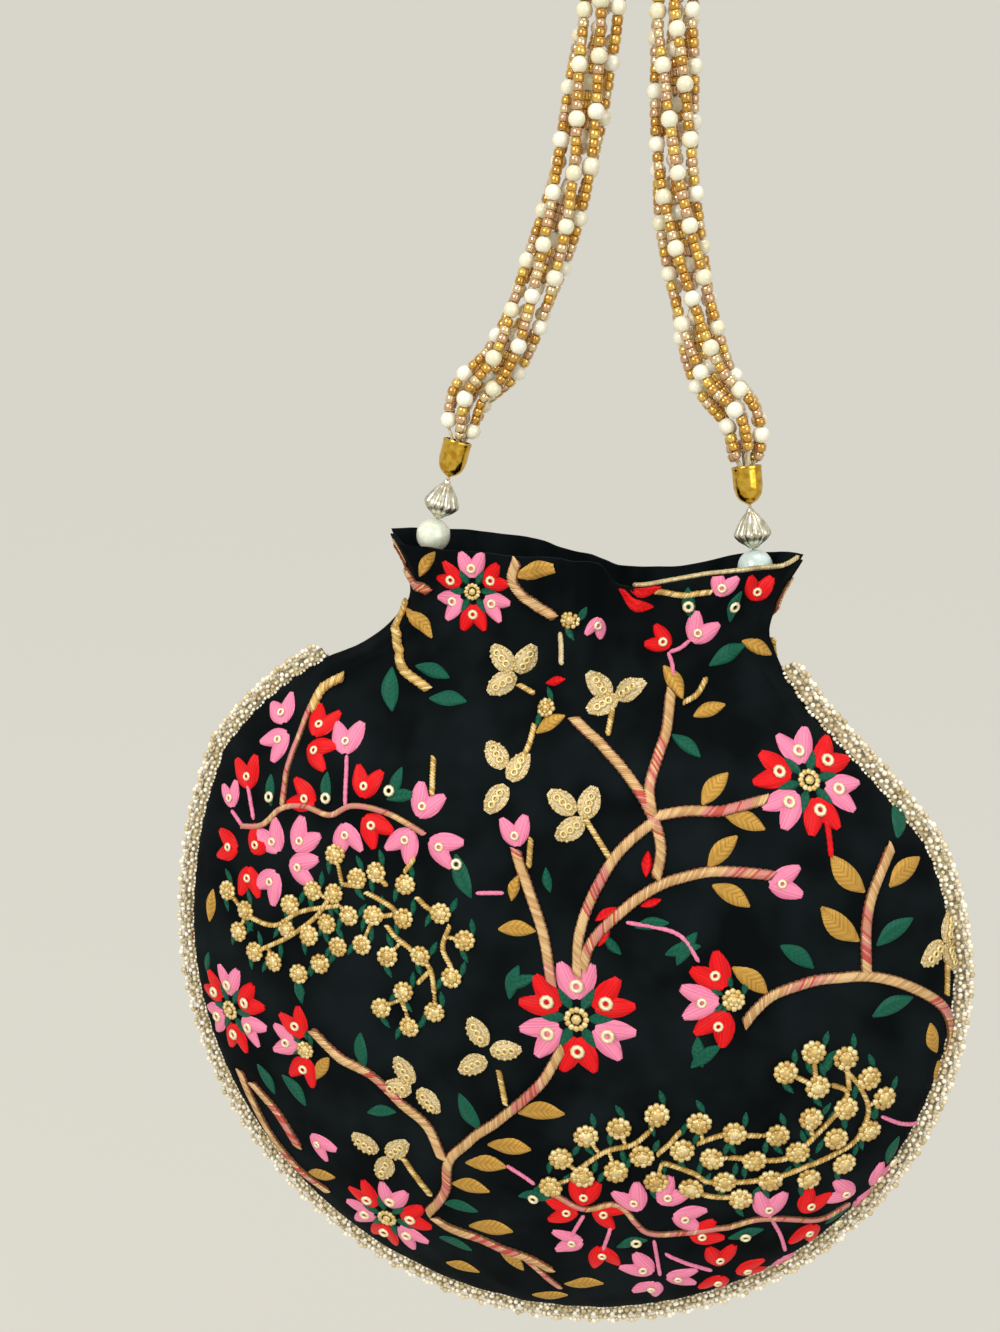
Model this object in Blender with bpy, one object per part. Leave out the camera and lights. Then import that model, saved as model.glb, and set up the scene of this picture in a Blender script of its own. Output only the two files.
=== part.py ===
"""Round two-panel potli bag with a beaded handle.

Metres, +Z up, front towards -Y. The origin is the hang point, the underside of the handle's top bend.
The handle is a loop of seven bead strands. At each end it goes into a gold cap, and a thread from the
cap's tip carries a ribbed bead and a round bead down into the gathered mouth of the bag.
"""

import math

import bmesh
import bpy
import numpy as np
from mathutils import Vector

MM = 0.001

# Handle
HOOK_GAP_RADIUS = 3.6  # free radius of the eye under the top bend
STRAND_COUNT = 6  # strands round the middle one
RING_RADIUS = 4.45  # from the middle strand to the others
PEARL_RADIUS = 2.0
SEED_RADIUS = 1.3
BEAD_REPEAT = 12.0  # one pearl and the seed beads up to the next
TWIST_TURNS = 1.5
NECK_HALF_WIDTH = 8.4  # of the loop, where its legs come closest
NECK_DROP = 24.0
ATTACH_HALF_WIDTH = 35.0  # from the middle to a cap's top
ATTACH_DROP = 124.0
STACK_LEAN = math.radians(11.0)

# Cap, ribbed bead and round bead
CAP_LENGTH = 9.0
CAP_RADIUS = 3.6
CAP_WALL = 0.5
CAP_TIP_RADIUS = 0.75
BORE_RADIUS = 0.5
THREAD_RADIUS = 0.35
KNOT_RADIUS = 0.45
KNOT_GAP = 0.55  # from the middle of the knot to the cap and to the ribbed bead
RIBBED_LENGTH = 9.4
RIBBED_RADIUS = 4.2
RIBBED_TIP_RADIUS = 0.75
RIBBED_WIDEST = 0.64  # share of the length, from the top
RIBS = 8
ROUND_RADIUS = 4.25
BEAD_GAP = 0.3
CLEARANCE = 0.3

# Bag
DISC_RADIUS = 98.0
NECK_HALF = 44.5
NECK_DEPTH = 11.0
RIM_HALF = 50.5
RIM_DEPTH = 13.0
FRILL_HEIGHT = 17.0
NECK_TO_CENTRE = 88.0
PUFF = 28.0  # from the seam's plane to the front
PUFF_POWER = 0.62
CLOTH = 1.4  # one panel, its embroidery's backing and its hem
LINING = 0.8
LINING_EASE = 2.0  # how much narrower it is cut than the panels' inside
LINING_EDGE = 0.3  # half the space inside it at its side seams
RIM_ABOVE_ROUND_BEAD = 0.6  # from the round bead's middle up to the rim
PLEATS = 8
PLEAT_DEPTH = 1.9
FOLD_DEPTH = 4.0
FOLD_PLACE = 0.07
RIM_SAG = 3.4
RIM_DIP = 6.0
BACK_DIP = 7.0
RIM_TILT = 0.035
SHOULDER_DROP = 50.0
SLOUCH = 5.0
LACE_TOP_LEFT = 19.0
LACE_TOP_RIGHT = 9.0
LACE_WIDTH = 4.6
LACE_THICK = 1.0
SCALLOP = 5.2
RIM_CORD_RADIUS = 0.6
FLOWER_RISE = 0.9
# Where each raised flower sits: u across, height over the disc's centre and radius as shares of its radius, turn.
FLOWERS = {
    "main": (-0.03, -0.061, 0.139, 0.0),
    "right": (0.39, 0.551, 0.127, 0.0),
    "low_left": (-0.42, -0.633, 0.112, 0.3),
    "left_edge": (-0.80, -0.082, 0.092, 0.1),
}

COLUMNS = 32
PANEL_ROWS = 15


def clear_scene():
    for obj in list(bpy.data.objects):
        bpy.data.objects.remove(obj, do_unlink=True)


def material(name, colour, roughness, metallic=0.0):
    made = bpy.data.materials.new(name)
    made.use_nodes = True
    shader = made.node_tree.nodes["Principled BSDF"]
    rgb = [int(colour[i : i + 2], 16) / 255 for i in (0, 2, 4)]
    linear = [c / 12.92 if c <= 0.04045 else ((c + 0.055) / 1.055) ** 2.4 for c in rgb]
    shader.inputs["Base Color"].default_value = (*linear, 1.0)
    shader.inputs["Roughness"].default_value = roughness
    shader.inputs["Metallic"].default_value = metallic
    made.diffuse_color = (*linear, 1.0)
    return made


def mesh_object(name, points, faces, look, at=(0, 0, 0), parent=None, smooth=True):
    """An object whose mesh is given in millimetres round its own origin, which lies at `at`."""
    mesh = bpy.data.meshes.new(name)
    shifted = (np.array(points, float) - np.array(at, float)) * MM
    mesh.from_pydata(shifted.tolist(), [], faces)
    work = bmesh.new()
    work.from_mesh(mesh)
    bmesh.ops.recalc_face_normals(work, faces=work.faces)
    if work.calc_volume(signed=True) < 0:
        bmesh.ops.reverse_faces(work, faces=work.faces)
    work.to_mesh(mesh)
    work.free()
    mesh.materials.append(look)
    if smooth:
        mesh.shade_smooth()
        mesh.set_sharp_from_angle(angle=math.radians(40))
    obj = bpy.data.objects.new(name, mesh)
    bpy.context.scene.collection.objects.link(obj)
    obj.location = Vector(at) * MM
    if parent:
        obj.parent = parent
        obj.matrix_parent_inverse = parent.matrix_world.inverted()
    return obj


def empty(name, at, parent=None):
    obj = bpy.data.objects.new(name, None)
    obj.empty_display_size = 0.01
    obj.location = Vector(at) * MM
    bpy.context.scene.collection.objects.link(obj)
    bpy.context.view_layer.update()
    if parent:
        obj.parent = parent
        obj.matrix_parent_inverse = parent.matrix_world.inverted()
    bpy.context.view_layer.update()
    return obj


def smooth_curve(xs, ys, at):
    """A curve through the keys without overshoot, from cubic pieces with limited slopes."""
    xs, ys, at = np.array(xs, float), np.array(ys, float), np.clip(at, xs[0], xs[-1])
    step = np.diff(xs)
    slope = np.diff(ys) / step[:, None] if ys.ndim == 2 else np.diff(ys) / step
    inner = np.where(
        slope[:-1] * slope[1:] > 0,
        2 * slope[:-1] * slope[1:] / np.where(slope[:-1] + slope[1:] == 0, 1, slope[:-1] + slope[1:]),
        0.0,
    )
    tangent = np.concatenate([slope[:1], inner, slope[-1:]])
    i = np.clip(np.searchsorted(xs, at, side="right") - 1, 0, len(step) - 1)
    t = (at - xs[i]) / step[i]
    h = step[i]
    if ys.ndim == 2:
        t, h = t[..., None], h[..., None]
    return (
        (2 * t**3 - 3 * t**2 + 1) * ys[i]
        + (t**3 - 2 * t**2 + t) * h * tangent[i]
        + (-2 * t**3 + 3 * t**2) * ys[i + 1]
        + (t**3 - t**2) * h * tangent[i + 1]
    )


# The stack's places, down its leaning axis from the cap's top

KNOT_AT = CAP_LENGTH + KNOT_GAP
RIBBED_AT = KNOT_AT + KNOT_GAP
ROUND_AT = RIBBED_AT + RIBBED_LENGTH + BEAD_GAP + ROUND_RADIUS
THREAD_END = (NECK_HALF - CLOTH - CLEARANCE - THREAD_RADIUS - ATTACH_HALF_WIDTH) / math.sin(STACK_LEAN)


def stack_point(side, along, out=0.0, front=0.0):
    """A point of the left (side -1) or right (+1) stack: along its axis, and out and front of it."""
    x = ATTACH_HALF_WIDTH + along * math.sin(STACK_LEAN) + out * math.cos(STACK_LEAN)
    z = -ATTACH_DROP - along * math.cos(STACK_LEAN) + out * math.sin(STACK_LEAN)
    return (side * x, front, z)


HINGE_Z = stack_point(1, KNOT_AT)[2]
RIM_Z = stack_point(1, ROUND_AT)[2] + RIM_ABOVE_ROUND_BEAD
NECK_Z = RIM_Z - FRILL_HEIGHT
CENTRE_Z = NECK_Z - NECK_TO_CENTRE
BOTTOM_Z = CENTRE_Z - DISC_RADIUS


def turned(name, side, profile, look, parent, sides=12, ribs=0, rib_depth=0.0, origin_at=0.0):
    """A solid of revolution round the stack's axis, from a closed profile of (along, radius) pairs."""
    points, faces = [], []
    count = len(profile)
    for k in range(sides):
        turn = 2 * math.pi * k / sides
        for along, radius, ribbed in profile:
            r = radius
            if ribs and ribbed:
                r = radius * (1 + rib_depth * ribbed * math.cos(ribs * turn))
            points.append(stack_point(side, along, r * math.cos(turn), r * math.sin(turn)))
    for k in range(sides):
        after = (k + 1) % sides
        for j in range(count):
            below = (j + 1) % count
            faces.append((k * count + j, after * count + j, after * count + below, k * count + below))
    return mesh_object(name, points, faces, look, stack_point(side, origin_at), parent)


def cap(name, side, look, parent):
    inner = CAP_RADIUS - CAP_WALL
    profile = [
        (0.0, inner, 0), (0.0, CAP_RADIUS, 0), (0.5 * CAP_LENGTH, 0.97 * CAP_RADIUS, 0),
        (0.72 * CAP_LENGTH, 0.86 * CAP_RADIUS, 0), (0.88 * CAP_LENGTH, 0.62 * CAP_RADIUS, 0),
        (CAP_LENGTH, CAP_TIP_RADIUS, 0), (CAP_LENGTH, BORE_RADIUS, 0),
        (0.86 * CAP_LENGTH, BORE_RADIUS, 0), (0.68 * CAP_LENGTH, 0.72 * inner, 0),
        (0.4 * CAP_LENGTH, inner, 0),
    ]
    return turned(name, side, profile, look, parent, sides=10)


def ribbed_bead(name, side, look, parent):
    top, end = RIBBED_AT, RIBBED_AT + RIBBED_LENGTH
    widest = top + RIBBED_WIDEST * RIBBED_LENGTH
    span = widest - top
    profile = [
        (top, BORE_RADIUS, 0), (top, RIBBED_TIP_RADIUS, 0),
        (top + 0.30 * span, 0.46 * RIBBED_RADIUS, 0.6), (top + 0.7 * span, 0.84 * RIBBED_RADIUS, 1),
        (widest, RIBBED_RADIUS, 0.5), (end - 0.45 * (end - widest), 0.72 * RIBBED_RADIUS, 0.8),
        (end, RIBBED_TIP_RADIUS + 0.3, 0), (end, BORE_RADIUS, 0),
    ]
    return turned(name, side, profile, look, parent, sides=2 * RIBS, ribs=RIBS, rib_depth=0.07,
                  origin_at=widest)


def round_bead(name, side, look, parent):
    flat = math.asin(BORE_RADIUS / ROUND_RADIUS)
    angles = np.linspace(flat, math.pi - flat, 7)
    profile = [(ROUND_AT - ROUND_RADIUS * math.cos(a), ROUND_RADIUS * math.sin(a), 0) for a in angles]
    return turned(name, side, profile, look, parent, sides=12, origin_at=ROUND_AT)


def rod(side, stations, sides=6):
    """Closed rod round the stack's axis, from (along, radius) stations."""
    points = [stack_point(side, stations[0][0])]
    faces = []
    for along, radius in stations:
        for k in range(sides):
            turn = 2 * math.pi * k / sides
            points.append(stack_point(side, along, radius * math.cos(turn), radius * math.sin(turn)))
    points.append(stack_point(side, stations[-1][0]))
    last = len(points) - 1
    for k in range(sides):
        after = (k + 1) % sides
        faces.append((0, 1 + after, 1 + k))
        faces.append((last, last - sides + k, last - sides + after))
        for j in range(len(stations) - 1):
            a, b = 1 + j * sides, 1 + (j + 1) * sides
            faces.append((a + k, a + after, b + after, b + k))
    return points, faces


def upper_thread(name, side, look, parent):
    """The strands' threads tied inside the cap, out through its tip to the knot."""
    reach = THREAD_RADIUS
    stations = [
        (0.62 * CAP_LENGTH, 0.8), (0.74 * CAP_LENGTH, 0.8), (0.80 * CAP_LENGTH, reach),
        (KNOT_AT - KNOT_RADIUS, reach), (KNOT_AT - 0.5 * KNOT_RADIUS, 0.87 * KNOT_RADIUS),
        (KNOT_AT, KNOT_RADIUS), (KNOT_AT + 0.6 * KNOT_RADIUS, 0.8 * KNOT_RADIUS),
        (KNOT_AT + KNOT_RADIUS, 0.1),
    ]
    points, faces = rod(side, stations)
    return mesh_object(name, points, faces, look, stack_point(side, KNOT_AT), parent)


def lower_thread(name, side, look, parent):
    """From under the knot through both beads to a stitch at the lining."""
    stations = [
        (KNOT_AT + KNOT_RADIUS + CLEARANCE, THREAD_RADIUS), (ROUND_AT + ROUND_RADIUS + 0.4, THREAD_RADIUS),
        (ROUND_AT + ROUND_RADIUS + 0.9, 0.9), (ROUND_AT + ROUND_RADIUS + 1.9, 0.9),
        (ROUND_AT + ROUND_RADIUS + 2.4, THREAD_RADIUS), (THREAD_END, THREAD_RADIUS),
    ]
    points, faces = rod(side, stations)
    return mesh_object(name, points, faces, look, stack_point(side, KNOT_AT), parent)


# Handle


def loop_centre():
    """The loop's centre line from the left cap over the top to the right cap, at even steps."""
    bend = HOOK_GAP_RADIUS + RING_RADIUS + PEARL_RADIUS
    top = RING_RADIUS + PEARL_RADIUS
    lean = math.tan(STACK_LEAN)
    keys = [
        (0.0, top), (0.5 * bend, top - 0.134 * bend), (0.87 * bend, top - 0.5 * bend), (bend, top - bend),
        (0.9 * bend, top - 1.55 * bend), (NECK_HALF_WIDTH, -NECK_DROP),
        (NECK_HALF_WIDTH + 1.2, -NECK_DROP - 12), (0.35 * ATTACH_HALF_WIDTH, -0.49 * ATTACH_DROP),
        (0.50 * ATTACH_HALF_WIDTH, -0.67 * ATTACH_DROP), (0.72 * ATTACH_HALF_WIDTH, -0.84 * ATTACH_DROP),
        (ATTACH_HALF_WIDTH - 11 * lean, -ATTACH_DROP + 11), (ATTACH_HALF_WIDTH, -ATTACH_DROP),
        (ATTACH_HALF_WIDTH + 5 * lean, -ATTACH_DROP - 5),
    ]
    right = np.array(keys)
    both = np.concatenate([right[::-1] * (-1, 1), right[1:]])
    # Catmull-Rom by chord length
    chord = np.concatenate([[0], np.cumsum(np.linalg.norm(np.diff(both, axis=0), axis=1) ** 0.5)])
    tangent = np.gradient(both, chord, axis=0)
    at = np.linspace(0, chord[-1], 900)
    i = np.clip(np.searchsorted(chord, at, side="right") - 1, 0, len(chord) - 2)
    h = (chord[i + 1] - chord[i])[:, None]
    t = ((at - chord[i])[:, None]) / h
    flat = (
        (2 * t**3 - 3 * t**2 + 1) * both[i]
        + (t**3 - 2 * t**2 + t) * h * tangent[i]
        + (-2 * t**3 + 3 * t**2) * both[i + 1]
        + (t**3 - t**2) * h * tangent[i + 1]
    )
    points = np.stack([flat[:, 0], 0 * flat[:, 0], flat[:, 1]], axis=1)
    run = np.concatenate([[0], np.cumsum(np.linalg.norm(np.diff(points, axis=0), axis=1))])
    even = np.linspace(0, run[-1], 601)
    return np.stack([np.interp(even, run, points[:, k]) for k in range(3)], axis=1), even


def strand_path(number):
    """One strand's own curve: the middle one (0), or one of those round it, with their twist."""
    centre, run = loop_centre()
    ahead = np.gradient(centre, axis=0)
    ahead /= np.linalg.norm(ahead, axis=1)[:, None]
    across = np.array([0.0, 1.0, 0.0])
    normal = np.cross(ahead, across)
    inside = 5.0 - CLEARANCE  # how far the strands' ends reach into a cap
    from_end = np.minimum(run, run[-1] - run) - 5.0
    end_ring = 1.15
    ring = smooth_curve(
        [-6.0, -inside, 0.0, 3.5, 13.0, 1000.0],
        [end_ring, end_ring, 1.7, 3.5, RING_RADIUS, RING_RADIUS],
        from_end,
    )
    if number == 0:
        ring = ring * 0
    turn = 2 * math.pi * (number / STRAND_COUNT + TWIST_TURNS * run / run[-1])
    path = centre + ring[:, None] * (np.cos(turn)[:, None] * normal + np.sin(turn)[:, None] * across)
    keep = from_end > -inside
    path, from_end = path[keep], from_end[keep]
    along = np.concatenate([[0], np.cumsum(np.linalg.norm(np.diff(path, axis=0), axis=1))])
    return path, along, from_end


def strand(name, number, look, parent):
    path, along, from_end = strand_path(number)
    bare = 3.6  # of thread above each cap, before the first bead
    first = np.interp(bare, from_end[: len(along) // 2], along[: len(along) // 2])
    last = along[-1] - first
    count = int((last - first) // BEAD_REPEAT)
    start = first + ((last - first) - count * BEAD_REPEAT) * 0.5
    shift = (number / 2 + (number // 2) / STRAND_COUNT) % 1.0 * BEAD_REPEAT
    stations = [(0.0, THREAD_RADIUS), (first - 0.4, THREAD_RADIUS), (first, SEED_RADIUS)]
    pearl = start + shift - BEAD_REPEAT
    while pearl < last - 2 * PEARL_RADIUS:
        if pearl > first + 0.4:
            stations += [
                (pearl, SEED_RADIUS * 0.86), (pearl + PEARL_RADIUS, PEARL_RADIUS),
                (pearl + 2 * PEARL_RADIUS, SEED_RADIUS * 0.86),
            ]
        pearl += BEAD_REPEAT
    stations += [(last, SEED_RADIUS), (last + 0.4, THREAD_RADIUS), (along[-1], THREAD_RADIUS)]
    sides = 3 if number == 0 else 4
    places = np.array([s for s, _ in stations])
    mid = np.stack([np.interp(places, along, path[:, k]) for k in range(3)], axis=1)
    ends = np.clip(places, 0.3, along[-1] - 0.3)
    ahead = np.stack(
        [np.interp(ends + 0.3, along, path[:, k]) - np.interp(ends - 0.3, along, path[:, k]) for k in range(3)],
        axis=1,
    )
    points, faces = [mid[0].tolist()], []
    for centre, way, (_, radius) in zip(mid, ahead, stations):
        way = way / np.linalg.norm(way)
        one = np.cross(way, (0, 1, 0))
        one /= np.linalg.norm(one)
        two = np.cross(way, one)
        for k in range(sides):
            turn = 2 * math.pi * k / sides
            points.append((centre + radius * (math.cos(turn) * one + math.sin(turn) * two)).tolist())
    points.append(mid[-1].tolist())
    end = len(points) - 1
    for k in range(sides):
        after = (k + 1) % sides
        faces.append((0, 1 + after, 1 + k))
        faces.append((end, end - sides + k, end - sides + after))
        for j in range(len(stations) - 1):
            a, b = 1 + j * sides, 1 + (j + 1) * sides
            faces.append((a + k, a + after, b + after, b + k))
    return mesh_object(name, points, faces, look, (0, 0, 0), parent)


# Bag


def half_width(z):
    """Half the bag's width at a height measured from its neck, up positive."""
    circle = np.sqrt(np.maximum(DISC_RADIUS**2 - (z + NECK_TO_CENTRE) ** 2, 0.0))
    joined = math.sqrt(DISC_RADIUS**2 - (NECK_TO_CENTRE - SHOULDER_DROP) ** 2)
    down = [1.0, 0.92, 0.86, 0.72, 0.60, 0.48, 0.40, 0.30, 0.16, 0.0]
    share = [1.0, 0.96, 0.905, 0.775, 0.644, 0.50, 0.393, 0.24, 0.087, 0.0]
    heights = [-SHOULDER_DROP * d for d in down] + [0.35 * FRILL_HEIGHT, FRILL_HEIGHT]
    widths = [NECK_HALF + (joined - NECK_HALF) * w for w in share] + [NECK_HALF + 1.0, RIM_HALF]
    return np.where(z < -SHOULDER_DROP, circle, smooth_curve(heights, widths, z))


def slouch(z):
    """How far both seams lie to the left at a height: the left shoulder is the fuller one."""
    return -SLOUCH * smooth_curve([-80.0, -51.0, -43.0, -27.0, -20.0, -14.0, -4.0],
                                  [0.0, 0.4, 0.7, 1.0, 0.9, 0.3, 0.0], z)


def half_depth(z):
    """How far the panel's middle stands from the seam's plane."""
    width = half_width(z)
    puffed = PUFF * (width / DISC_RADIUS) ** (2 * PUFF_POWER)
    gathered = smooth_curve([-40.0, 0.0, FRILL_HEIGHT], [0.0, 1.0, 1.0], z)
    mouth = smooth_curve([0.0, FRILL_HEIGHT], [NECK_DEPTH, RIM_DEPTH], z)
    return puffed * (1 - gathered) + mouth * gathered


def pleat_wave(u):
    """Uneven pleats across the panel, u from -1 to 1, fading to its seams."""
    warped = u + 0.045 * np.sin(5.3 * u + 0.6) + 0.02 * np.sin(11.0 * u)
    height = 0.8 + 0.25 * np.sin(7.1 * u + 1.0)
    return height * np.cos(math.pi * PLEATS * warped) * np.clip(6 * (1 - np.abs(u)), 0, 1)


def rim_drop(u, front):
    """How far the rim hangs below its ends. The front one sags and steps down at its fold."""
    if not front:
        return BACK_DIP * np.exp(-(((u - 0.15) / 0.30) ** 2))
    sag = RIM_SAG * smooth_curve([0.0, 0.12, 0.32, 1.0], [0.0, 0.45, 1.0, 1.0], 1 - np.abs(u))
    step = 1 / (1 + np.exp(-(u - FOLD_PLACE) / 0.012))
    return sag + RIM_DIP * step * np.exp(-(np.maximum(u - FOLD_PLACE, 0) / 0.34) ** 2)


def panel_point(u, row, front, inset=0.0, flat=0.0):
    """A point of a panel's face: u across, row the height from the neck before the rim's dip."""
    dip = rim_drop(u, front) * np.clip(row / FRILL_HEIGHT, 0, 1)
    z = row - dip
    angle = u * math.pi / 2
    width = half_width(row) - inset
    depth = half_depth(row) - inset
    curve = np.maximum(np.cos(angle), 0.0) ** (2 * PUFF_POWER)
    above = smooth_curve([0.0, 6.0, FRILL_HEIGHT], [0.55, 0.9, 1.25], np.maximum(row, 0.0))
    below = smooth_curve([-62.0, -30.0, -9.0, 0.0], [0.0, 0.45, 0.95, 0.55], np.minimum(row, 0.0))
    amount = np.where(row > 0, above, below) * PLEAT_DEPTH
    ripple = amount * pleat_wave(u)
    if front:
        fold = np.exp(-(((u - FOLD_PLACE - 0.045) / 0.04) ** 2))
        ripple = ripple - FOLD_DEPTH * fold * smooth_curve([-26.0, 2.0, FRILL_HEIGHT], [0.0, 0.6, 1.0], row)
    y = flat + np.maximum(depth * curve + ripple * curve**0.5, 0.0)
    x = width * np.sin(angle) + slouch(row) * np.abs(np.sin(angle))
    z = z + RIM_TILT * x * np.clip(row / FRILL_HEIGHT, 0, 1)
    return x, (-y if front else y), NECK_Z + z


def panel_rows(last):
    """Row heights from the rim to just above the bottom, closer where the shape turns."""
    top = [FRILL_HEIGHT, 0.5 * FRILL_HEIGHT, 0.0]
    top += [-SHOULDER_DROP * d for d in (0.15, 0.31, 0.5, 0.7, 0.95)]
    start = math.acos((NECK_TO_CENTRE - 1.24 * SHOULDER_DROP) / DISC_RADIUS)
    turns = np.linspace(start, math.pi - last, PANEL_ROWS - len(top))
    return np.array(top + [-NECK_TO_CENTRE + DISC_RADIUS * math.cos(a) for a in turns])


def shell(front, outer_inset, thick, rows, columns, half_gap):
    """Points and faces of a cloth shell between two insets, closed along its rim, sides and bottom."""
    us = np.linspace(-1, 1, columns + 1)
    layers = []
    for inset in (outer_inset, outer_inset + thick):
        grid = []
        for row in rows:
            x, y, z = panel_point(us, np.full_like(us, row), front, inset, half_gap)
            grid.append(np.stack([x, y, z], axis=1))
        layers.append(np.concatenate(grid))
    points = np.concatenate(layers).tolist()
    per = columns + 1
    size = len(rows) * per
    sign = -1 if front else 1
    points.append([0.0, sign * half_gap, CENTRE_Z - DISC_RADIUS + outer_inset])
    points.append([0.0, sign * half_gap, CENTRE_Z - DISC_RADIUS + outer_inset + thick])
    poles = (2 * size, 2 * size + 1)
    faces = []
    for layer in (0, 1):
        base = layer * size
        for j in range(len(rows) - 1):
            for i in range(columns):
                a = base + j * per + i
                faces.append((a, a + 1, a + per + 1, a + per))
        low = base + (len(rows) - 1) * per
        for i in range(columns):
            faces.append((low + i, low + i + 1, poles[layer]))
    for i in range(columns):
        faces.append((i, i + 1, size + i + 1, size + i))
    for side in (0, columns):
        for j in range(len(rows) - 1):
            a, b = j * per + side, (j + 1) * per + side
            faces.append((a, b, size + b, size + a))
        low = (len(rows) - 1) * per + side
        faces.append((low, poles[0], poles[1], size + low))
    return points, faces


def panel(name, front, look, parent):
    rows = panel_rows(math.radians(8))
    points, faces = shell(front, 0.0, CLOTH, rows, COLUMNS, 0.5 * CLEARANCE)
    return mesh_object(name, points, faces, look, (0, 0, HINGE_Z), parent)


def lining(name, look, parent):
    """The inner pocket, one turn round both panels, open at the mouth."""
    columns = 8
    us = np.linspace(-1, 1, columns + 1)
    inset = CLOTH + CLEARANCE
    rows = panel_rows(math.radians(8))
    heights = list(rows[3:9]) + list(rows[10:-1:2])
    layers = []
    for extra in (0.0, LINING):
        for row in heights:
            ring = []
            floor = extra if row == heights[-1] else 0.0
            for front in (True, False):
                z = np.full_like(us, row + floor)
                angle = us * math.pi / 2
                width = half_width(z) - inset - LINING_EASE - extra
                ripple = 1.12 * PLEAT_DEPTH * smooth_curve([-62.0, -30.0, -9.0], [0.0, 0.45, 0.95], z)
                curve = np.maximum(np.cos(angle), 0) ** (2 * PUFF_POWER)
                room = half_depth(z) - inset - extra
                y = np.maximum(0.5 * CLEARANCE + room * curve - ripple * curve**0.5, LINING_EDGE + LINING - extra)
                x = width * np.sin(angle) + slouch(z) * np.abs(np.sin(angle))
                line = np.stack([x, (-y if front else y), NECK_Z + z], axis=1)
                ring.append(line if front else line[::-1])
            layers.append(np.concatenate(ring))
    per = 2 * (columns + 1)
    points = np.concatenate(layers).tolist()
    count = len(heights)
    faces = []
    for layer in (0, 1):
        base = layer * count * per
        for j in range(count - 1):
            for i in range(per):
                n = (i + 1) % per
                a, b = base + j * per, base + (j + 1) * per
                faces.append((a + i, a + n, b + n, b + i))
        low = base + (count - 1) * per
        for i in range(columns):
            faces.append((low + i, low + i + 1, low + per - 2 - i, low + per - 1 - i))
    for i in range(per):
        n = (i + 1) % per
        faces.append((i, n, count * per + n, count * per + i))
    return mesh_object(name, points, faces, look, (0, 0, HINGE_Z), parent)


def seam_line(steps):
    """Points down the seam, from the left shoulder round the bottom to the right one."""
    begin = math.acos((NECK_TO_CENTRE - SHOULDER_DROP) / DISC_RADIUS)
    arc = [(-DISC_RADIUS * math.sin(a), -NECK_TO_CENTRE + DISC_RADIUS * math.cos(a))
           for a in np.linspace(begin, 2 * math.pi - begin, steps)]
    left = [(-float(half_width(h)), h) for h in np.linspace(-LACE_TOP_LEFT, -0.92 * SHOULDER_DROP, 8)]
    right = [(float(half_width(h)), h) for h in np.linspace(-0.92 * SHOULDER_DROP, -LACE_TOP_RIGHT, 10)]
    line = np.array(left + arc + right)
    line[:, 0] += slouch(line[:, 1])
    return line


def lace(name, look, parent):
    """Scalloped trim round the seam, from just outside the cloth's edge."""
    line = seam_line(90)
    run = np.concatenate([[0], np.cumsum(np.linalg.norm(np.diff(line, axis=0), axis=1))])
    scallops = max(8, round(run[-1] / SCALLOP))
    at = np.linspace(0, run[-1], 2 * scallops + 1)
    mid = np.stack([np.interp(at, run, line[:, k]) for k in range(2)], axis=1)
    way = np.gradient(mid, axis=0)
    way /= np.linalg.norm(way, axis=1)[:, None]
    out = np.stack([way[:, 1], -way[:, 0]], axis=1)
    centre = np.array([0.0, -NECK_TO_CENTRE])
    out *= np.sign(np.sum(out * (mid - centre), axis=1))[:, None]
    tip = np.where(np.arange(len(at)) % 2 == 1, LACE_WIDTH, 0.62 * LACE_WIDTH)
    points = []
    for (x, h), (ox, oh), reach in zip(mid, out, tip):
        for distance, y in ((CLEARANCE, -0.5), (CLEARANCE, 0.5), (reach, 0.0)):
            points.append((x + ox * distance, y * LACE_THICK, NECK_Z + h + oh * distance))
    faces = []
    for j in range(len(at) - 1):
        a, b = 3 * j, 3 * (j + 1)
        for k in range(3):
            n = (k + 1) % 3
            faces.append((a + k, a + n, b + n, b + k))
    end = 3 * (len(at) - 1)
    faces += [(0, 1, 2), (end, end + 2, end + 1)]
    return mesh_object(name, points, faces, look, (0, 0, HINGE_Z), parent, smooth=False)


def tube(name, line, radius, sides, look, parent, at):
    """A closed tube along a smooth line of points."""
    line = np.array(line, float)
    ahead = np.gradient(line, axis=0)
    ahead /= np.linalg.norm(ahead, axis=1)[:, None]
    points, faces = [], []
    one = np.cross(ahead[0], (0, 0, 1.0))
    for centre, way in zip(line, ahead):
        one = one - way * np.dot(one, way)
        one /= np.linalg.norm(one)
        two = np.cross(way, one)
        for k in range(sides):
            turn = 2 * math.pi * k / sides
            points.append(centre + radius * (math.cos(turn) * one + math.sin(turn) * two))
    for j in range(len(line) - 1):
        a, b = j * sides, (j + 1) * sides
        for k in range(sides):
            n = (k + 1) % sides
            faces.append((a + k, a + n, b + n, b + k))
    faces += [tuple(range(sides)), tuple(range(len(points) - sides, len(points)))]
    return mesh_object(name, points, faces, look, at, parent)


def rim_cord(name, look, parent):
    """Thin metal-wrapped cord along the top of the front rim, right of its fold."""
    us = np.linspace(FOLD_PLACE + 0.09, 0.93, 18)
    x, y, z = panel_point(us, np.full_like(us, FRILL_HEIGHT), True, 0.5 * CLOTH, 0.5 * CLEARANCE)
    z = z + RIM_CORD_RADIUS + CLEARANCE
    return tube(name, np.stack([x, y, z], axis=1), RIM_CORD_RADIUS, 6, look, parent, (0, 0, HINGE_Z))


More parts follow.
